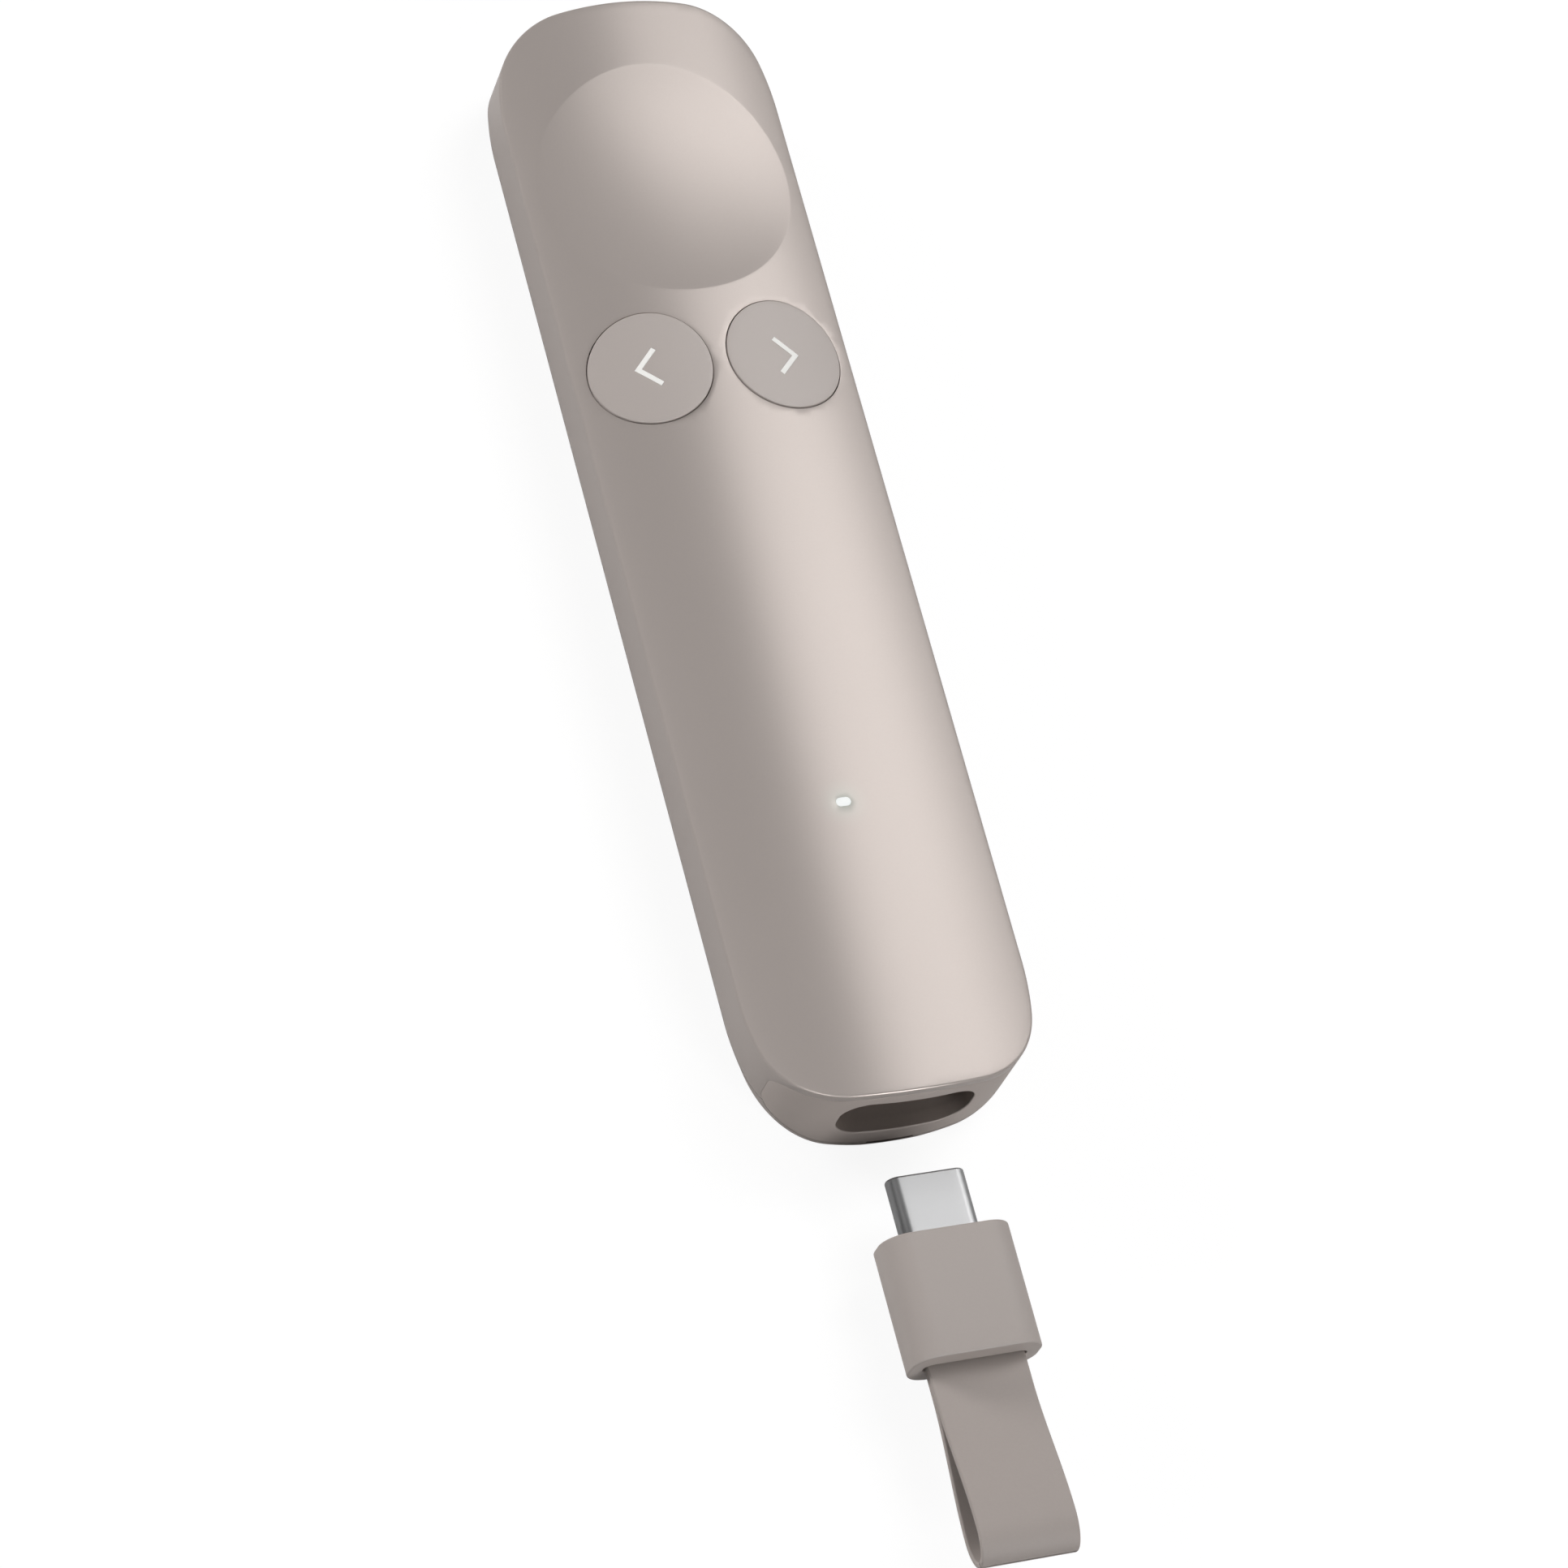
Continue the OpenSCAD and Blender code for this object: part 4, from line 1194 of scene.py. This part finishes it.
@dataclass
class ThumbButton:
    """Round button with an arrow mark let into its face, in millimetres.

    Attributes:
        form: Outer form of the handset.
        side: Side of the handset it is on.
        body: Body that it is.
        r: Radius.
        proud: How far its face stands above the crown.
        roll: Rounding of its edge.
        foot_z: Height at which its skirt ends.
        foot_w: Width of the ring under its skirt.
        nose: Distance of the mark's nose from the button's middle.
        drop: How far the mark sits towards the tail.
        arm: Length of each arm of the mark.
        stroke: Width of each arm.
        mark_roll: Rounding of the mark's edges.
        mark_depth: Depth of the walls between mark and face.
        mark_gap: Width of the hairline round the mark.
    """

    form: HandsetForm
    side: Side
    body: Body
    r: float = 6.345
    proud: float = 0.18
    roll: float = 0.09
    foot_z: float = 8.15
    foot_w: float = 1.3
    nose: float = 1.55
    drop: float = 0.0
    arm: float = 3.2
    stroke: float = 0.56
    mark_roll: float = 0.02
    mark_depth: float = 0.3
    mark_gap: float = 0.012

    def arrow(self, inset: float = 0.0) -> Array:
        """Outline of the arrow mark, anticlockwise, with its nose towards its own side.

        Args:
            inset: How far it is moved inwards.

        Returns:
            The points.
        """
        a, w = self.arm * math.sqrt(0.5), self.stroke * math.sqrt(0.5)
        half = [(0.0, 0.0), (a, -a), (a + w, -a + w), (2 * w, 0.0)]
        points = half + [(x, -y) for x, y in reversed(half[1:3])]
        loop = shifted(evened(np.array(points), 0.2), inset)
        if self.side is Side.RIGHT:
            loop = (loop * [-1, 1])[::-1]
        return loop + [self.side.value * (self.form.button_x + self.nose), self.form.button_y - self.drop]

    def place(self, px: Array, py: Array, depth: Array | float) -> Array:
        """Points of the button's crowned face."""
        return columns(px, py, self.form.crown(px, self.proud) - depth)

    def cap(self) -> bpy.types.Object:
        """Makes the button's face and skirt."""
        skin, middle = Skin(), (self.side.value * self.form.button_x, self.form.button_y)
        edge = circle(*middle, self.r)
        rings = rolled(edge, self.roll)
        mark = Edge(self.arrow()[::-1], self.mark_roll, self.mark_depth)
        skin.patch(self.place, [Edge(rings[0][0]), mark], 0.55)
        placed = [ring_at(self.place, loop, depth) for loop, depth in rings]
        feet = [circle(*middle, r) for r in (self.r, self.r - self.foot_w)]
        skin.loft(placed + [columns(foot[:, 0], foot[:, 1], self.foot_z) for foot in feet])
        return skin.mesh(f"{self.body.value}_form")

    def mark(self) -> bpy.types.Object:
        """Makes the pale arrow, let into the face with a hairline round it."""
        skin = Skin()
        skin.patch(self.place, [Edge(self.arrow(self.mark_gap), self.mark_roll, self.mark_depth)], 0.25)
        return skin.mesh(f"{self.mark_node}_form")

    @property
    def mark_node(self) -> str:
        """Name of the solid that the mark stands for."""
        return self.body.value.replace("button", "chevron")

    def build(self, wardrobe: Wardrobe) -> None:
        """Builds, dresses and settles the button and its mark."""
        wardrobe.settle(self.cap(), self.body, [self.body.value], BUTTON)
        wardrobe.settle(self.mark(), self.body, [self.mark_node], MARK)


@dataclass
class Receiver:
    """Receiver with its plug, moulded grip and strap loop, in millimetres.

    Attributes:
        axis_z: Height of its axis.
        tail_y: Rear face of the grip.
        nose_y: Front face of the grip.
        tip_y: Tip of the plug.
        grip_w: Width of the grip.
        grip_h: Height of the grip.
        grip_r: Corner radius of the grip.
        grip_roll: Rounding of the grip's edges.
        grip_wall: Wall of the grip round its front plate.
        slot_roll: Rounding of the edge of the strap's slot.
        slot_depth: Depth of that slot.
        plug_w: Width of the plug.
        plug_h: Thickness of the plug.
        plug_t: Thickness of the plug's shell.
        plug_roll: Rounding of the plug's mouth.
        plug_root: How far the plug's shell reaches into the grip.
        plug_bore: Depth of the plug's inner wall.
        plug_lip: How far that wall begins behind the tip.
        gap: Gap round the front plate, and round the plug in it.
        seam_roll: Rounding of the edges at those gaps.
        strap_w: Width of the strap.
        strap_t: Thickness of the strap.
        strap_edge: Rounding of the strap's edges.
        strap_ys: Places of the strap's first points, in the grip and behind it.
        strap_gap: Room round the strap in its slot.
        loop_half_h: Half of the loop's height.
        split_y: Where the loop's two runs part.
        belly_y: Where the loop is highest.
        loop_nose: Length of the loop's end behind that.
        contacts: Contacts in each row of the plug.
        contact_ys: Rear and front ends of the contacts, behind the plug's tip.
        block_y: Floor of the contact block, behind the plug's tip.
        wafer_y: Front of its wafers, behind the plug's tip.
    """

    axis_z: float = 7.13
    tail_y: float = -89.4
    nose_y: float = -76.4
    tip_y: float = -69.75
    grip_w: float = 13.65
    grip_h: float = 6.75
    grip_r: float = 2.8
    grip_roll: float = 0.2
    grip_wall: float = 1.2
    slot_roll: float = 0.12
    slot_depth: float = 2.4
    plug_w: float = 8.25
    plug_h: float = 2.4
    plug_t: float = 0.3
    plug_roll: float = 0.24
    plug_root: float = 3.9
    plug_bore: float = 5.7
    plug_lip: float = 0.03
    gap: float = 0.05
    seam_roll: float = 0.05
    strap_w: float = 10.2
    strap_t: float = 0.65
    strap_edge: float = 0.2
    strap_ys: tuple[float, ...] = (-87.6, -89.0, -91.0)
    strap_gap: float = 0.3
    loop_half_h: float = 2.37
    split_y: float = -92.5
    belly_y: float = -106.5
    loop_nose: float = 3.35
    contacts: int = 12
    contact_ys: tuple[float, float] = (5.3, 0.8)
    block_y: float = 5.6
    wafer_y: float = 0.35

    def face(self, y: float, way: int = 1) -> Place:
        """Placing of a patch that lies across the receiver at y and looks towards way times +Y."""
        return across(y, way, self.axis_z)

    def inner_rect(self, wall: float) -> Array:
        """Outline of the grip's front, moved inwards by a wall."""
        return round_rect(self.grip_w - 2 * wall, self.grip_h - 2 * wall, self.grip_r - wall, 18, 0.7)

    def grip(self) -> bpy.types.Object:
        """Makes the moulded grip with its rounded edges and the strap's slot."""
        skin, room = Skin(), 2 * self.strap_gap
        section = round_rect(self.grip_w, self.grip_h, self.grip_r, 22, 0.7)
        slot = stadium(self.strap_w + room, 2 * self.strap_t + room, 14, 0.5)
        rear, front = self.face(self.tail_y, -1), self.face(self.nose_y)
        bend = rolled(section, self.grip_roll, FINE_TURNS)
        face = Edge(bend[0][0])
        skin.patch(rear, [face, Edge(slot[::-1], self.slot_roll, self.slot_depth)], 0.7)
        mouth = self.inner_rect(self.grip_wall)[::-1]
        skin.patch(front, [face, Edge(mouth, self.seam_roll, 0.9)], 0.7, flip=True)
        rings = [ring_at(rear, loop, depth) for loop, depth in bend]
        rings += [ring_at(front, loop, depth) for loop, depth in reversed(bend)]
        skin.loft(rings, flip=True)
        return skin.mesh("receiver_housing_form")

    def nose(self) -> bpy.types.Object:
        """Makes the front plate round the plug."""
        skin = Skin()
        plate = self.inner_rect(self.grip_wall + self.gap)
        hole = stadium(self.plug_w + 2 * self.gap, self.plug_h + 2 * self.gap, 16, 0.5)
        edges = [Edge(loop, self.seam_roll, 1.0) for loop in (plate, hole[::-1])]
        skin.patch(self.face(self.nose_y), edges, 0.6, flip=True)
        return skin.mesh("receiver_nose_form")

    def plug(self) -> bpy.types.Object:
        """Makes the plug's drawn shell with its rolled mouth."""
        skin, wall = Skin(), 2 * self.plug_t
        outer = stadium(self.plug_w, self.plug_h, 20, 0.5)
        inner = stadium(self.plug_w - wall, self.plug_h - wall, 20, 0.5)
        bend = rolled(outer, self.plug_roll)
        shell = [*bend, (outer, self.tip_y - self.nose_y + self.plug_root)]
        lip = [(inner, self.plug_lip), bend[0]]
        bore = [(inner, self.plug_bore), (inner, self.plug_lip)]
        for lines in (shell, lip, bore):
            skin.loft([ring_at(self.face(self.tip_y), loop, depth) for loop, depth in lines], flip=True)
        return skin.mesh("plug_shell_form")

    def loop_path(self) -> list[tuple[float, float, float]]:
        """Points along the middle of the strap, out along its upper run and back along the lower."""
        t = self.strap_t / 2
        rise = self.loop_half_h - self.strap_t
        upper = [(0.0, y, t) for y in (*self.strap_ys, self.split_y)]
        for i in range(1, 29):
            u = i / 28
            y = self.split_y + (self.belly_y - self.split_y) * u
            upper.append((0.0, y, t + rise * u * u * (3 - 2 * u)))
        nose = []
        for i in range(1, 36):
            a = math.pi * i / 36
            y = self.belly_y - (self.loop_nose - t) * math.sin(a)
            nose.append((0.0, y, (self.loop_half_h - t) * math.cos(a)))
        lower = [(x, y, -z) for x, y, z in reversed(upper)]
        return [(x, y, z + self.axis_z) for x, y, z in upper + nose + lower]

    def strap(self, material: bpy.types.Material) -> bpy.types.Object:
        """Makes the strap by sweeping its rounded section along its path with Geometry Nodes.

        Args:
            material: Material of the strap.

        Returns:
            The strap.
        """
        points = [(x * MM, y * MM, z * MM) for x, y, z in self.loop_path()]
        data = bpy.data.meshes.new("strap_path")
        data.from_pydata(points, [(i, i + 1) for i in range(len(points) - 1)], [])
        inputs = {"Geometry": "Geometry", "Width": "Float", "Thickness": "Float", "Edge Radius": "Float"}
        tree = new_tree("StrapSweep", "GeometryNodeTree", inputs, {"Geometry": "Geometry"})
        g = Graph(tree)
        inp = g.node("NodeGroupInput").outputs
        path = g.node("GeometryNodeMeshToCurve", {"Mesh": inp["Geometry"]})
        turned = g.node("GeometryNodeSetCurveNormal", {"Curve": path.outputs[0]}, mode="Z_UP")
        section = g.node(
            "GeometryNodeCurvePrimitiveQuadrilateral", {"Width": inp["Width"], "Height": inp["Thickness"]}
        )
        rounded = g.node(
            "GeometryNodeFilletCurve",
            {"Curve": section.outputs[0], "Radius": inp["Edge Radius"], "Count": 5},
            mode="POLY",
        )
        swept = g.node(
            "GeometryNodeCurveToMesh",
            {"Curve": turned.outputs[0], "Profile Curve": rounded.outputs[0], "Fill Caps": True},
        )
        g.dressed(swept.outputs[0], material)
        sizes = {
            "Width": self.strap_w * MM,
            "Thickness": self.strap_t * MM,
            "Edge Radius": self.strap_edge * MM,
        }
        return grown(data, tree, sizes, "strap_loop_form")

    def insulator(self) -> bpy.types.Object:
        """Makes the contact block: a floor deep in the plug and two thin wafers."""
        skin = Skin()
        w, h = self.plug_w - 2 * self.plug_t - 0.1, self.plug_h - 2 * self.plug_t - 0.1
        block = Edge(stadium(w, h, 14, 0.6), 0.0, 4.9)
        skin.patch(self.face(self.tip_y - self.block_y), [block], 0.5, flip=True)
        for way in (-1, 1):
            wafer = Edge(round_rect(w - 1.2, 0.3, 0.1, 5, 0.5) + [0, way * (h / 2 - 0.15)], 0.05, 5.2)
            skin.patch(self.face(self.tip_y - self.wafer_y), [wafer], 0.4, flip=True)
        return skin.mesh("plug_insulator_form")

    def build(self, wardrobe: Wardrobe) -> None:
        """Builds, dresses and settles every piece of the receiver."""
        rows = ContactRows(self.contacts, self.axis_z, *(self.tip_y - y for y in self.contact_ys))
        wardrobe.settle(self.grip(), Body.RECEIVER, ["receiver_housing"], GRIP)
        wardrobe.settle(self.nose(), Body.RECEIVER, ["receiver_nose"], GRIP)
        wardrobe.settle(self.plug(), Body.RECEIVER, ["plug_shell"], STEEL)
        wardrobe.settle(self.insulator(), Body.RECEIVER, ["plug_insulator"], CONTACT)
        wardrobe.settle(self.strap(wardrobe.made[STRAP.name]), Body.RECEIVER, ["strap_loop"], STRAP)
        wardrobe.settle(rows.build(wardrobe.made[GOLD.name], "plug_contacts"), Body.RECEIVER, [], GOLD)


def grown(
    data: bpy.types.Mesh, tree: bpy.types.NodeTree, sizes: dict[str, float], name: str
) -> bpy.types.Object:
    """Runs a Geometry Nodes tree on a mesh and keeps the result as a plain mesh.

    Args:
        data: Mesh that the tree starts from.
        tree: The tree, with named inputs.
        sizes: Values of those inputs.
        name: Name of the finished piece.

    Returns:
        The finished object.
    """
    seed = bpy.data.objects.new(name + "_seed", data)
    bpy.context.scene.collection.objects.link(seed)
    modifier = seed.modifiers.new("Growth", "NODES")
    modifier.node_group = tree
    for item in tree.interface.items_tree:
        if item.item_type == "SOCKET" and item.in_out == "INPUT" and item.name in sizes:
            modifier[item.identifier] = sizes[item.name]
    shot = seed.evaluated_get(bpy.context.evaluated_depsgraph_get())
    made = bpy.data.meshes.new_from_object(shot)
    seed.modifiers.clear()
    bpy.data.objects.remove(seed)
    return finished(made, name, SHARP_SWEPT, WELD * MM)


@dataclass
class ContactRows:
    """Two facing rows of small gold contacts, in millimetres.

    Attributes:
        count: Contacts in each row.
        axis_z: Height midway between the rows.
        back_y: Rear end of the contacts.
        tip_y: Front end of the contacts.
        reach_z: Distance of each row from the middle.
        rise: How far a contact stands out of its bed.
        pitch: Distance between neighbours.
        width: Width of a contact.
        steps: Points along a contact.
    """

    count: int
    axis_z: float
    back_y: float
    tip_y: float
    reach_z: float = 0.5
    rise: float = 0.03
    pitch: float = 0.5
    width: float = 0.26
    steps: int = 14

    def strip(self) -> bpy.types.Mesh:
        """Makes one contact: a thin strip with a rounded, slightly raised tip."""
        skin, half = Skin(), self.width / 2
        y = np.linspace(self.back_y, self.tip_y, self.steps)
        t = np.linspace(0, 1, self.steps)
        lift = self.rise * (0.4 + 0.6 * np.sin(np.pi * np.clip(t * 1.4 - 0.3, 0, 1)))
        section = ((-1, 0.0), (-1, 0.7), (-0.6, 1.0), (0.6, 1.0), (1, 0.7), (1, 0.0))
        skin.loft([columns(x * half, y, lift * up - self.reach_z) for x, up in section], closed=False)
        return skin.data("contact_strip")

    def build(self, material: bpy.types.Material, name: str) -> bpy.types.Object:
        """Repeats the contact along both rows with Geometry Nodes.

        Args:
            material: Material of the contacts.
            name: Name of the piece.

        Returns:
            Both rows as one piece.
        """
        inputs = {"Geometry": "Geometry", "Pitch": "Float", "Start": "Float", "Axis Height": "Float"}
        tree = new_tree("ContactRows", "GeometryNodeTree", inputs, {"Geometry": "Geometry"})
        g = Graph(tree)
        inp = g.node("NodeGroupInput").outputs
        start = g.node("ShaderNodeCombineXYZ", {"X": inp["Start"], "Z": inp["Axis Height"]})
        step = g.node("ShaderNodeCombineXYZ", {"X": inp["Pitch"]})
        line = g.node(
            "GeometryNodeMeshLine",
            {"Count": self.count, "Start Location": start.outputs[0], "Offset": step.outputs[0]},
            mode="OFFSET",
        )
        joined = g.node("GeometryNodeJoinGeometry")
        for turn in (0.0, math.pi):
            row = g.node(
                "GeometryNodeInstanceOnPoints",
                {"Points": line.outputs[0], "Instance": inp["Geometry"], "Rotation": (0.0, turn, 0.0)},
            )
            tree.links.new(row.outputs[0], joined.inputs[0])
        g.dressed(joined.outputs[0], material)
        sizes = {
            "Pitch": self.pitch * MM,
            "Start": -self.pitch * (self.count - 1) / 2 * MM,
            "Axis Height": self.axis_z * MM,
        }
        return grown(self.strip(), tree, sizes, name)


class LampRole(Enum):
    """Kinds of reflection that a lamp takes part in."""

    PLAIN = "plain"
    GLINT = "glint"
    WASH = "wash"


@dataclass(frozen=True)
class Softbox:
    """One square lamp, turned to the object.

    Attributes:
        name: Name of the lamp.
        azimuth: Direction it stands in, in degrees from +X towards +Y.
        elevation: Height over the floor as seen from the object, in degrees.
        watts: Power.
        side: Length of each side, in metres.
        role: Which kind of reflection it takes part in.
        reach: Distance from the object, in metres.
    """

    name: str
    azimuth: float
    elevation: float
    watts: float
    side: float = 0.85
    role: LampRole = LampRole.PLAIN
    reach: float = 3.0

    def away(self) -> Vector:
        """Place of the lamp, counted from the point it is aimed at."""
        a, e = math.radians(self.azimuth), math.radians(self.elevation)
        return self.reach * Vector((math.cos(e) * math.cos(a), math.cos(e) * math.sin(a), math.sin(e)))


LAMPS = (
    Softbox("key_a", 32, 24, 2.2),
    Softbox("key_b", 32, 38, 11.0),
    Softbox("key_c", 32, 52, 6.9),
    Softbox("side_a", 18, 24, 6.8),
    Softbox("side_b", 18, 38, 4.5),
    Softbox("side_c", 18, 52, 2.8),
    Softbox("over_a", 46, 52, 6.8),
    Softbox("over_b", 46, 66, 9.3),
    Softbox("over_c", 46, 78, 1.6),
    Softbox("over_left", 180, 62, 5.1, 1.6),
    Softbox("far_left", 150, 40, 5.0, 1.6),
    Softbox("tail_high", -72, 34, 26.0, 1.1),
    Softbox("tail_low", -85, 15, 14.0, 0.9),
    Softbox("glint", -80, 34, 80.0, 1.4, LampRole.GLINT),
    Softbox("glint_left", -135, 36, 45.0, 1.4, LampRole.GLINT),
    Softbox("left_low", 142, 15, 62.0, 0.9, LampRole.WASH),
)


@dataclass
class Studio:
    """Floor, lamps and the camera that the photograph was matched with.

    Attributes:
        lens: Focal length on a sensor 36 mm wide.
        eye: Place of the camera, in metres.
        right: Direction that runs to the right in the picture.
        down: Direction that runs down in the picture.
        ahead: Direction that the camera looks in.
        aim: Point that the lamps are turned to, in metres.
        floor_half: Half of the floor's side, in millimetres.
        floor_drop: How far the floor lies below the resting flat, in millimetres.
        lit: Tone of the floor for the light that it throws back.
        seen_lit: Tone of the floor's own shading in the picture.
        shown: White that is added to it in the picture.
        mirrored: White that is added to it in mirrors.
        surround: Level of the world's light.
    """

    lens: float = 137.573
    eye: tuple[float, float, float] = (-0.199012, -0.254873, 0.532000)
    right: tuple[float, float, float] = (0.938446, -0.245354, 0.243147)
    down: tuple[float, float, float] = (-0.120896, -0.892679, -0.434177)
    ahead: tuple[float, float, float] = (0.323579, 0.378056, -0.867393)
    aim: tuple[float, float, float] = (0.0, -0.01, 0.01)
    floor_half: float = 6000.0
    floor_drop: float = 0.02
    lit: float = 0.55
    seen_lit: float = 0.14
    shown: float = 0.9
    mirrored: float = 0.14
    surround: float = 0.03

    def camera(self) -> None:
        """Makes the camera."""
        cam = bpy.data.objects.new("camera", bpy.data.cameras.new("camera"))
        cam.data.lens = self.lens
        cam.data.sensor_width = 36.0
        cam.data.clip_start, cam.data.clip_end = 0.01, 20.0
        turn = Matrix((Vector(self.right), -Vector(self.down), -Vector(self.ahead))).transposed().to_4x4()
        cam.matrix_world = Matrix.Translation(self.eye) @ turn
        bpy.context.scene.collection.objects.link(cam)
        bpy.context.scene.camera = cam

    def floor(self) -> None:
        """Makes the floor, white to the camera and to mirrors but for the object's shadow."""
        skin = Skin()
        x, y = np.array([(-1, -1), (1, -1), (1, 1), (-1, 1)]).T * self.floor_half
        skin.add(columns(x, y, -self.floor_drop), [(0, 1, 2, 3)])
        obj = skin.mesh("floor")
        made = bpy.data.materials.new("floor_white")
        made.use_nodes = True
        g = Graph(made.node_tree)
        rays = g.node("ShaderNodeLightPath").outputs
        seen = g.math("MAXIMUM", rays["Is Camera Ray"], rays["Is Transmission Ray"])
        matte = g.node("ShaderNodeBsdfDiffuse", {"Color": g.mix(seen, grey(self.lit), grey(self.seen_lit))})
        added = g.math("MULTIPLY", rays["Is Glossy Ray"], self.mirrored)
        strength = g.math("ADD", g.math("MULTIPLY", seen, self.shown), added)
        white = g.node("ShaderNodeEmission", {"Color": grey(1.0), "Strength": strength})
        both = g.node("ShaderNodeAddShader", {0: matte.outputs[0], 1: white.outputs[0]})
        g.node("ShaderNodeOutputMaterial", {"Surface": both.outputs[0]})
        obj.data.materials.append(made)

    def world(self) -> None:
        """Makes the even, dim surround."""
        world = bpy.data.worlds.new("surround")
        bpy.context.scene.world = world
        world.use_nodes = True
        g = Graph(world.node_tree)
        back = g.node("ShaderNodeBackground", {"Color": grey(self.surround), "Strength": 1.0})
        g.node("ShaderNodeOutputWorld", {"Surface": back.outputs[0]})

    def light(self) -> None:
        """Makes the soft lamps, each turned to the object."""
        for box in LAMPS:
            data = bpy.data.lights.new(box.name, "AREA")
            data.shape = "SQUARE"
            data.size = box.side
            data.energy = box.watts
            lamp = bpy.data.objects.new(box.name, data)
            lamp.location = Vector(self.aim) + box.away()
            lamp.rotation_euler = (-box.away()).to_track_quat("-Z", "Y").to_euler()
            lamp.visible_diffuse = box.role is not LampRole.GLINT
            lamp.visible_glossy = box.role is not LampRole.WASH
            bpy.context.scene.collection.objects.link(lamp)

    def build(self) -> None:
        """Builds the whole stage."""
        bpy.context.scene.view_settings.view_transform = "Standard"
        self.camera()
        self.floor()
        self.world()
        self.light()


def main() -> None:
    """Builds the model piece by piece on the frame, then the stage."""
    logging.basicConfig(level=logging.INFO, format="%(name)s: %(message)s")
    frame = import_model()
    slots = {row["node"]: row["material_slot"] for row in frame["record"]["subparts"]}
    wardrobe = Wardrobe()
    wardrobe.dress_nodes(frame["nodes"], slots)
    form = HandsetForm()
    outline, cap = Outline(form), CapForm()
    HandsetShell(form, outline, cap).build(wardrobe)
    TailPocket(form, outline, cap).build(wardrobe)
    ThumbButton(form, Side.LEFT, Body.PREVIOUS, nose=1.78).build(wardrobe)
    ThumbButton(form, Side.RIGHT, Body.NEXT, drop=0.22).build(wardrobe)
    Receiver().build(wardrobe)
    Studio().build()
    bpy.context.view_layer.update()


if __name__ == "__main__":
    main()
